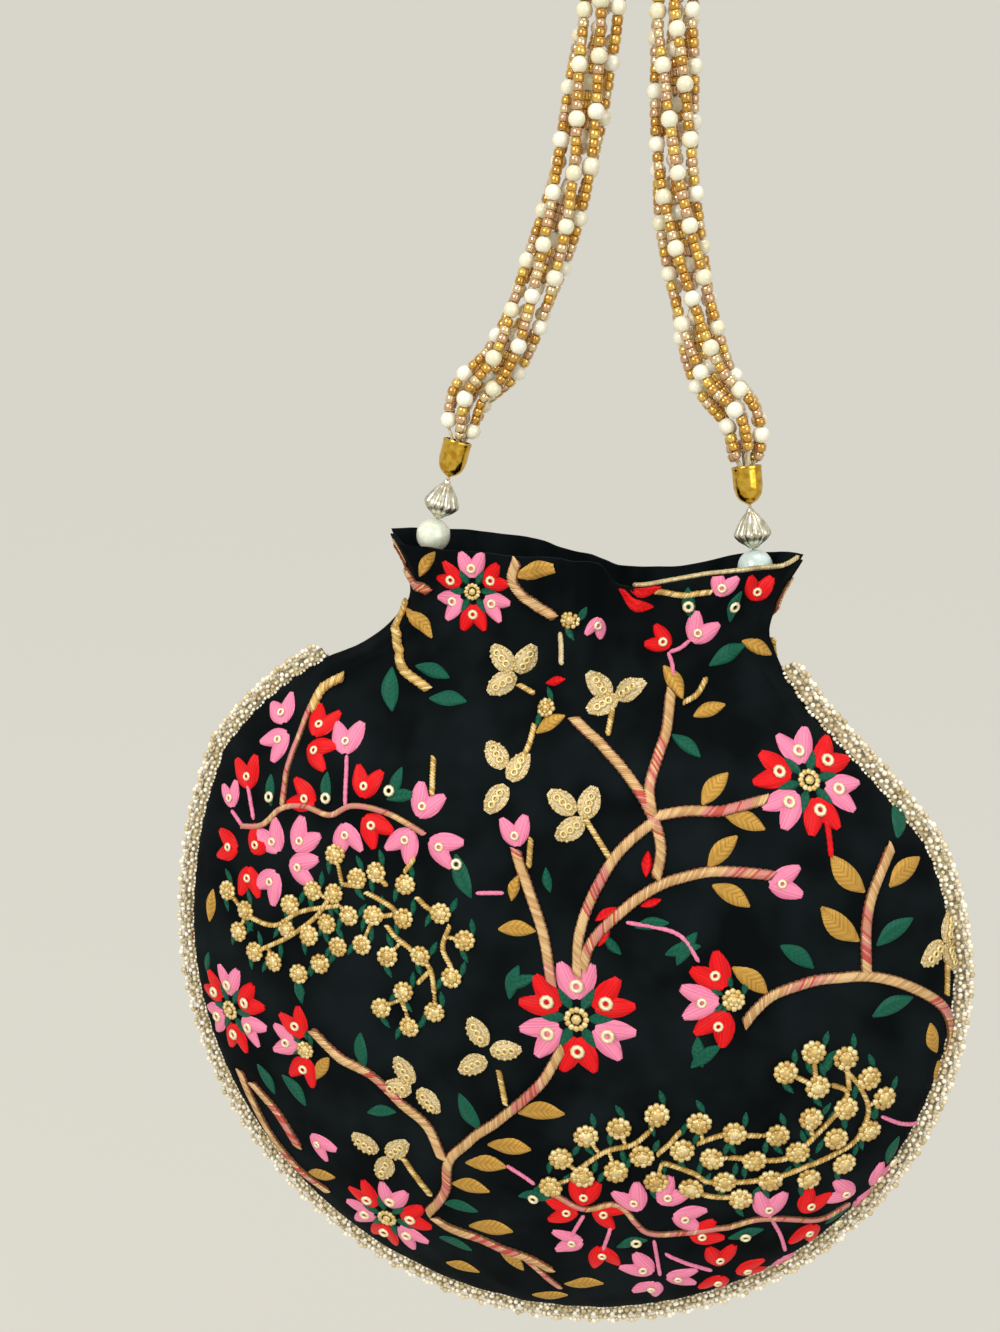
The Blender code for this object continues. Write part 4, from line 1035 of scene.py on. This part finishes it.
# %% Fruits: domes of sequins, each on a short stem
DOME = (  # rings of sequins in a fruit: distance out, rise, count and size of each, in radii of the fruit
    (0.0, 0.42, 1, 0.26), (0.0, 0.18, 1, 0.66), (0.40, 0.36, 6, 0.22), (0.72, 0.22, 10, 0.31))
STALK_REACH = 34  # the longest stalk, in pixels
for px, py, size in BERRIES:
    for seat in seats_at(px, py):
        radius = size / 2
        for out, rise, count, grain in DOME:
            for k in range(count):
                a, b = turned(out * radius, 0, 2 * math.pi * k / count + px)
                GRAINS.append((seat, a, b, grain * radius, rng.random(), rise * radius))
        for way in ((px * 7) % 70, 180 + (py * 5) % 80):
            at = turned(1.35 * radius, 0, math.radians(way + 25))
            leaf(seat, "green", at, math.radians(way + 60), 4.2, 1.6, 0.0, 0.4)
for line in GOLD_CHAINS:
    stem(line, 0.62, "gold", 0.1)
for px, py, size in BERRIES:
    near = min((((a + (b - a) * t, c + (d - c) * t) for line in GOLD_CHAINS
                 for (a, c), (b, d) in zip(line, line[1:]) for t in (0.0, 0.25, 0.5, 0.75, 1.0))),
               key=lambda spot: math.dist(spot, (px, py)))
    if 2.2 * size < math.dist(near, (px, py)) < STALK_REACH:
        stem([(px, py), near], 0.45, "gold", 0.1)

# %% The stitched pieces
for work in WORK.values():
    work.finish()


def sewn(name, shape, spots, look):
    """A piece of one small shape at (seat, a, b, size, tint, rise) on the cloth."""
    places = [tuple(seat.lay(a, b, rise)) for seat, a, b, _, _, rise in spots]
    repeat(name, shape, places, [tuple(spot[0].normal) for spot in spots], [spot[3] for spot in spots],
           [spot[4] for spot in spots], look, "bag", "embroidery")


ring_sequin = shape_object("ring_sequin", lambda work: ring_shape(work, 1.0, 0.5, 9, 4))
cup_sequin = shape_object("cup_sequin", lambda work: ball(work, 4, 6, 0.6))
chain_stitch = shape_object("chain_stitch", lambda work: ball(work, 5, 5))
for side, stitches in STITCHES.items():
    repeat(f"chain_stitches_{side}", chain_stitch, *zip(*stitches), CHAIN, "bag", "embroidery")
for side in ("front", "back"):
    sewn(f"ring_sequins_{side}", ring_sequin, [r for r in RINGS if r[0].side == side], SEQUIN)
    sewn(f"sequin_fruits_{side}", cup_sequin, [g for g in GRAINS if g[0].side == side], BERRY)
for node in ("flower_main", "flower_right", "flower_low_left", "flower_left_edge"):
    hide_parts(node)

# %% [markdown]
# ## Lace round the seam
# A narrow stitched tape with two rows of beaded loops that stand out from it, one a half step on.

# %% Lace


def seam_line(step):
    """Points down the seam from shoulder to shoulder, and the outward way at each."""
    begin = math.acos((NECK_TO_CENTRE - SHOULDER_DROP) / DISC_RADIUS)
    arc = [(-DISC_RADIUS * math.sin(a), -NECK_TO_CENTRE + DISC_RADIUS * math.cos(a))
           for a in np.linspace(begin, 2 * math.pi - begin, 200)]
    left = [(-float(half_width(h)), h) for h in np.linspace(-LACE_TOP_LEFT, -0.92 * SHOULDER_DROP, 12)]
    right = [(float(half_width(h)), h) for h in np.linspace(-0.92 * SHOULDER_DROP, -LACE_TOP_RIGHT, 14)]
    line = np.array(left + arc + right)
    line[:, 0] += slouch(line[:, 1])
    run = distances(line)
    at = np.linspace(0, run[-1], int(run[-1] / step) + 1)
    mid = at_distance(at, run, line)
    way = unit_ways(mid)
    out = np.stack([way[:, 1], -way[:, 0]], axis=1)
    out *= np.sign(np.sum(out * (mid - (0, -NECK_TO_CENTRE)), axis=1))[:, None]
    return mid, out, way


PITCH, EDGE_STEP = 4.9, 1.1  # of the loops and of the beads on the tape's inner edge
LOOP_ROWS = ((-0.7, 4.1, 0), (0.7, 4.0, 1))  # depth, how far out the loops reach, and which is the first
LOOP_FILL = ((-0.9, 1.25), (0.1, 2.15), (0.9, 1.2))  # beads inside a loop: along the seam and out from it
BEAD, EDGE_BEAD, BEAD_SPREAD, TIP_EXTRA = 0.56, 0.44, 0.16, 0.2
EDGE_DEPTH, TAPE_REACH, TAPE_HALF, TAPE_EDGE_HALF = 1.15, 2.6, 0.75, 0.3
lace_spots = []  # place, size and tint of each bead


def lace_bead_at(spot, y, size):
    """A bead at (x, height over the neck) in the seam's plane."""
    lace_spots.append(((spot[0], y, NECK_Z + spot[1]), size, rng.random()))


mid, out, way = seam_line(PITCH / 2)
for depth, reach, first in LOOP_ROWS:
    for j in range(first + 1, len(mid) - 1, 2):
        for t in np.linspace(0.04, 0.96, 7):
            swing = math.cos(math.pi * t) * PITCH * 0.47
            far = 0.3 + (reach - 0.3) * math.sin(math.pi * t) ** 0.6
            lace_bead_at(mid[j] + way[j] * swing + out[j] * far, depth + rng.normal(0, 0.12),
                         BEAD + BEAD_SPREAD * rng.random() + (TIP_EXTRA if abs(t - 0.5) < 0.05 else 0))
        for along, far in LOOP_FILL:
            lace_bead_at(mid[j] + way[j] * along + out[j] * far, 1.1 * depth, BEAD + BEAD_SPREAD * rng.random())
edge_mid, edge_out, _ = seam_line(EDGE_STEP)
for y in (-EDGE_DEPTH, EDGE_DEPTH):
    for k, (spot, away) in enumerate(zip(edge_mid, edge_out)):
        near = 0.25 - 0.75 * abs(math.sin(math.pi * k * EDGE_STEP / PITCH)) + 0.15 * rng.random()
        lace_bead_at(spot + away * near, y, EDGE_BEAD + BEAD_SPREAD * rng.random())
lace_bead = shape_object("lace_bead", lambda work: ball(work, 5, 6, 0.9))
places, sizes, tints = zip(*lace_spots)
repeat("lace_beads", lace_bead, places, [(0, -1, 0)] * len(places), sizes, tints, LACE_BEAD, "bag", "lace",
       ["lace_trim"])
tape_points = []
for (x, h), (ox, oh) in zip(edge_mid, edge_out):
    for far, y in ((0.1, -TAPE_HALF), (0.1, TAPE_HALF), (TAPE_REACH, TAPE_EDGE_HALF), (TAPE_REACH, -TAPE_EDGE_HALF)):
        tape_points.append((x + ox * far, y, NECK_Z + h + oh * far))
solid("lace_tape", tape_points, quads(len(edge_mid), 4, closed=True), LACE_THREAD, "bag")

# %% [markdown]
# ## Rim cord
# A metal-wrapped cord lies along the front rim, right of its fold.

# %% Rim cord
RIM_CORD_RADIUS, RIM_CORD_LIFT = 0.55, 0.75
us = np.linspace(FOLD_PLACE + 0.09, 0.93, 160)
x, y, z = panel_point(us, np.full_like(us, FRILL_HEIGHT), True, 0.5 * CLOTH, puckers=0.0)
points, faces, across = tube(np.stack([x, y, z + RIM_CORD_LIFT], axis=1), RIM_CORD_RADIUS, 8, 2, 1.8)
solid("rim_cord_plied", points, faces, ZARI, "bag", ["rim_cord"], {"across": across})

# %% [markdown]
# ## Handle
# Seven strands, six twisted round one. Each has one pearl and four seed beads in turn.

# %% Strand paths
STRANDS, RING_RADIUS, PEARL_RADIUS, SEED_RADIUS = 6, 4.45, 2.0, 1.3
REPEAT_LENGTH, TWIST_TURNS, HOOK_GAP_RADIUS = 12.0, 1.5, 3.6
NECK_HALF_WIDTH, NECK_DROP, STRING_RADIUS = 8.4, 24.0, 0.32


def loop_centre():
    """The loop's centre line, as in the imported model."""
    bend, top = HOOK_GAP_RADIUS + RING_RADIUS + PEARL_RADIUS, RING_RADIUS + PEARL_RADIUS
    lean = math.tan(STACK_LEAN)
    keys = np.array([
        (0.0, top), (0.5 * bend, top - 0.134 * bend), (0.87 * bend, top - 0.5 * bend), (bend, top - bend),
        (0.9 * bend, top - 1.55 * bend), (NECK_HALF_WIDTH, -NECK_DROP), (NECK_HALF_WIDTH + 1.2, -NECK_DROP - 12),
        (0.35 * ATTACH_HALF_WIDTH, -0.49 * ATTACH_DROP), (0.50 * ATTACH_HALF_WIDTH, -0.67 * ATTACH_DROP),
        (0.72 * ATTACH_HALF_WIDTH, -0.84 * ATTACH_DROP), (ATTACH_HALF_WIDTH - 11 * lean, -ATTACH_DROP + 11),
        (ATTACH_HALF_WIDTH, -ATTACH_DROP), (ATTACH_HALF_WIDTH + 5 * lean, -ATTACH_DROP - 5)])
    both = np.concatenate([keys[::-1] * (-1, 1), keys[1:]])
    line = smooth_path(np.stack([both[:, 0], 0 * both[:, 0], both[:, 1]], axis=1), 0.4)
    return line, distances(line)


def strand_path(number):
    """A strand's line, its points' distances, and how far each lies from the nearer cap's mouth."""
    centre, run = loop_centre()
    ahead = unit_ways(centre)
    across = np.array([0.0, 1.0, 0.0])
    normal = np.cross(ahead, across)
    from_end = np.minimum(run, run[-1] - run) - 5.0
    spread = smooth_curve([-6.0, -4.7, 0.0, 3.5, 13.0, 1000.0], [1.15, 1.15, 1.7, 3.5, RING_RADIUS, RING_RADIUS],
                          from_end) * (number > 0)
    turn = 2 * math.pi * (number / STRANDS + TWIST_TURNS * run / run[-1])
    path = centre + spread[:, None] * (np.cos(turn)[:, None] * normal + np.sin(turn)[:, None] * across)
    path, from_end = path[from_end > -4.7], from_end[from_end > -4.7]
    return path, distances(path), from_end


# %% Beads on the strands
BEAD_GAP, SEED_PITCH, SEEDS_BETWEEN = 1.0, 2.0, 4
pearl_shape = shape_object("pearl", lambda work: ball(work, 9, 12, 1.0, 0.16))
SEED_PROFILE = [(0.42, 0.86), (0.76, 0.98), (0.98, 0.70), (1.0, 0.0), (0.98, -0.70), (0.76, -0.98), (0.42, -0.86)]
seed_shape = shape_object("seed_bead", lambda work: turned_bead(work, SEED_PROFILE, 9, True))
for number in range(STRANDS + 1):
    pearls, seeds = ([], [], [], []), ([], [], [], [])
    path, along, from_end = strand_path(number)
    half = len(along) // 2
    bare = 0.5 + 0.55 * (number % 3)
    first = float(np.interp(bare, from_end[:half], along[:half]))
    last = along[-1] - first
    shift = (number / 2 + (number // 2) / STRANDS) % 1.0 * REPEAT_LENGTH
    count = int((last - first) // REPEAT_LENGTH)
    place = first + (last - first - count * REPEAT_LENGTH) * 0.5 + shift - REPEAT_LENGTH
    beads = []
    while place < last:
        beads.append((place + PEARL_RADIUS, "pearl"))
        beads += [(place + 2 * PEARL_RADIUS + BEAD_GAP + SEED_PITCH * k, "seed") for k in range(SEEDS_BETWEEN)]
        place += REPEAT_LENGTH
    lowest = beads[0][0]
    while lowest > first + 2:
        lowest -= SEED_PITCH
        beads.append((lowest - BEAD_GAP, "seed"))
    for s, kind in beads:
        near_end = min(s - first, last - s)
        if near_end < (PEARL_RADIUS if kind == "pearl" else 0.6):
            continue
        spot = at_distance(s, along, path)
        way = at_distance(s + 0.4, along, path) - at_distance(s - 0.4, along, path)
        if kind == "pearl":
            wobble = PEARL_RADIUS * (1 + 0.025 * rng.normal())
            size = (wobble, wobble, wobble * (0.97 + 0.04 * rng.random()))
        else:
            wide = SEED_RADIUS * (1 + 0.04 * rng.normal())
            size = (wide, wide, 1.0)
        for store, value in zip(pearls if kind == "pearl" else seeds, (spot, way, size, rng.random())):
            store.append(value)
    node = f"strand_{number + 1}"
    line = path[::3]
    points, faces, _ = tube(line, STRING_RADIUS, 6)
    string = solid(node + "_string", points, faces, COTTON, "handle")
    beads_on = [repeat(node + "_pearls", pearl_shape, *pearls, PEARL, "handle", "pearl_beads", [node]),
                repeat(node + "_seed_beads", seed_shape, *seeds, SEED, "handle", "pearl_beads")]
    length = float(distances(line)[-1])
    print(node, round(length, 1), "mm of string")

# %% [markdown]
# ## Caps, beads and threads
# Turned pieces on each leaning stack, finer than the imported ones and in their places.

# %% Turned pieces
CAP_LENGTH, KNOT_GAP, RIBBED_LENGTH, ROUND_RADIUS = 9.0, 0.55, 9.4, 4.25
KNOT_AT = CAP_LENGTH + KNOT_GAP
RIBBED_AT = KNOT_AT + KNOT_GAP
ROUND_AT = RIBBED_AT + RIBBED_LENGTH + 0.3 + ROUND_RADIUS


def stack_point(side, along, radius=0.0, turn=0.0):
    """A place round the axis of a leaning stack, `along` from the cap's mouth down."""
    out, front = radius * math.cos(turn), radius * math.sin(turn)
    x = ATTACH_HALF_WIDTH + along * math.sin(STACK_LEAN) + out * math.cos(STACK_LEAN)
    return (side * x, front, -ATTACH_DROP - along * math.cos(STACK_LEAN) + out * math.sin(STACK_LEAN))


def lathe(name, side, profile, look, body, node, sides=48, ribs=0, rib_depth=0.0):
    """A closed profile of (along, radius, rib share) turned round the stack's axis."""
    count, points, faces = len(profile), [], []
    for k in range(sides):
        turn = 2 * math.pi * k / sides
        for along, radius, ribbed in profile:
            wave = abs(math.cos(ribs * turn / 2)) ** 0.7 - 0.5 if ribs else 0.0
            points.append(stack_point(side, along, radius * (1 + rib_depth * ribbed * wave), turn))
    for k in range(sides):
        for j in range(count):
            a, b, n, m = k * count + j, ((k + 1) % sides) * count + j, (j + 1) % count, k * count
            quad = (a, m + n, ((k + 1) % sides) * count + n, b)
            faces.append(quad if side > 0 else quad[::-1])
    return solid(name, points, faces, look, body, [node])


def eased(keys, steps):
    """More points along a profile's keys."""
    at = np.linspace(keys[0][0], keys[-1][0], steps)
    return [(float(a), float(r)) for a, r in zip(at, smooth_curve(*zip(*keys), at))]


for side, word in ((-1, "left"), (1, "right")):
    shell = eased([(0.0, 3.52), (0.4, 3.6), (0.9, 3.48), (4.5, 3.46), (6.5, 3.1), (8.0, 2.2), (9.0, 0.75)], 34)
    bore = [(9.0, 0.5), (7.7, 0.5), (6.1, 2.2), (3.6, 3.1), (0.0, 3.1)]
    lathe(f"cap_{word}_gold", side, [(a, r, 0) for a, r in shell + bore], GOLD, "handle",
          f"cap_{word}")
    widest = 0.64 * RIBBED_LENGTH
    body = eased([(0.0, 0.75), (0.6, 0.95), (0.3 * widest, 1.95), (0.7 * widest, 3.5), (widest, 4.2),
                  (widest + 1.4, 3.35), (RIBBED_LENGTH - 0.5, 1.5), (RIBBED_LENGTH, 1.05)], 30)
    ribbed = [(RIBBED_AT + a, r, min(1.0, 2.4 * math.sin(math.pi * a / RIBBED_LENGTH))) for a, r in body]
    ribbed += [(RIBBED_AT + RIBBED_LENGTH, 0.5, 0), (RIBBED_AT, 0.5, 0)]
    lathe(f"ribbed_bead_{word}_silver", side, ribbed, SILVER, f"ribbed_bead_{word}_body",
          f"ribbed_bead_{word}", 110, 11, 0.13)
    flat = math.asin(0.5 / ROUND_RADIUS)
    globe = [(ROUND_AT - ROUND_RADIUS * math.cos(a), ROUND_RADIUS * math.sin(a), 0)
             for a in np.linspace(flat, math.pi - flat, 24)]
    lathe(f"round_bead_{word}_glass", side, globe, GLASS_AQUA if side > 0 else GLASS_CREAM,
          f"round_bead_{word}_body", f"round_bead_{word}")

# %% Threads
KNOT_RINGS, KNOT_SIDES, UPPER_KNOT, LOWER_KNOT, THREAD_RADIUS = 9, 12, 0.45, 0.9, 0.34
THREAD_END = (NECK_HALF - CLOTH - CLEARANCE - 0.35 - ATTACH_HALF_WIDTH) / math.sin(STACK_LEAN)
for side, word in ((-1, "left"), (1, "right")):
    for name, body, start, end, knot in ((f"upper_thread_{word}", "handle", 5.6, KNOT_AT, KNOT_AT),
                                         (f"lower_thread_{word}", "bag", KNOT_AT + 0.75, THREAD_END,
                                          ROUND_AT + ROUND_RADIUS + 1.4)):
        points, faces, across = tube([stack_point(side, a) for a in np.arange(start, end, 0.25)],
                                      THREAD_RADIUS, 8, 2, 1.5)
        base = len(points)
        size = UPPER_KNOT if body == "handle" else LOWER_KNOT
        centre = np.array(stack_point(side, knot))
        for a in np.linspace(0.2, math.pi - 0.2, KNOT_RINGS):
            for t in np.arange(KNOT_SIDES) * 2 * math.pi / KNOT_SIDES:
                swell = size * (1 + 0.12 * math.sin(3 * t + 4 * a))
                points.append(centre + swell * np.array([math.sin(a) * math.cos(t), math.sin(a) * math.sin(t),
                                                         math.cos(a)]))
        faces += quads(KNOT_RINGS, KNOT_SIDES, base, closed=True)
        solid(name + "_twist", points, faces, COTTON, body, [name])

# %% [markdown]
# ## Stage and light
# A pale floor under the hanging bag and a pale room round it, with a soft key from the upper left, as
# in the photograph. Nothing stands behind the bag, so it can be seen from every side. What the camera
# and the glossy pieces see of the room is a plain pale colour, and the floor keeps the bag's shadow.

# %% Stage and light
ROOM, ROOM_LIGHT, ROOM_SHOWN, FLOOR_DEPTH, FLOOR_GLOW, FLOOR_HALF = "DDDACF", 0.55, 0.95, 0.42, 0.9, 9
floor_look = Look("pale_floor", ROOM, 0.9, Specular_IOR_Level=0.1)
glow = floor_look.add("ShaderNodeEmission", Color=ROOM, Strength=1.0)
floor_look.mix_shaders(floor_look.math("MULTIPLY", floor_look.seen_directly(), FLOOR_GLOW),
                       floor_look.shader.outputs[0], glow.outputs[0], "Material Output")
sheet = bpy.data.meshes.new("floor")
sheet.from_pydata([(x * FLOOR_HALF, y * FLOOR_HALF, -FLOOR_DEPTH) for x, y in ((-1, -1), (1, -1), (1, 1), (-1, 1))],
                  [], [(0, 1, 2, 3)])
sheet.materials.append(floor_look.material)
floor = in_scene("floor", sheet)


def area_light(name, place, aim, size, power, colour):
    data = bpy.data.lights.new(name, "AREA")
    data.size, data.energy, data.color = size, power, linear(colour)[:3]
    lamp = in_scene(name, data)
    lamp.location = place
    lamp.rotation_euler = (Vector(aim) - Vector(place)).to_track_quat("-Z", "Y").to_euler()


area_light("key", (-0.5, -0.9, 0.35), (0, 0, -0.2), 0.5, 9.0, "FFFBF4")
area_light("fill", (0.9, -0.8, 0.1), (0, 0, -0.2), 0.9, 5.0, "FFFFFF")
area_light("top", (0.1, -0.1, 0.8), (0, 0, -0.15), 0.5, 4.0, "FFF9F0")
room = bpy.data.worlds.new("room")
room.use_nodes = True
sky = Tree(room.node_tree)
lit, shown = sky.nodes["Background"], sky.add("ShaderNodeBackground", Color=ROOM, Strength=ROOM_SHOWN)
sky.feed(lit.inputs["Color"], "F1F0EC")
sky.feed(lit.inputs["Strength"], ROOM_LIGHT)
sky.mix_shaders(sky.seen_directly(), lit.outputs[0], shown.outputs[0], "World Output")
bpy.context.scene.world = room
bpy.context.scene.view_settings.view_transform = "Standard"
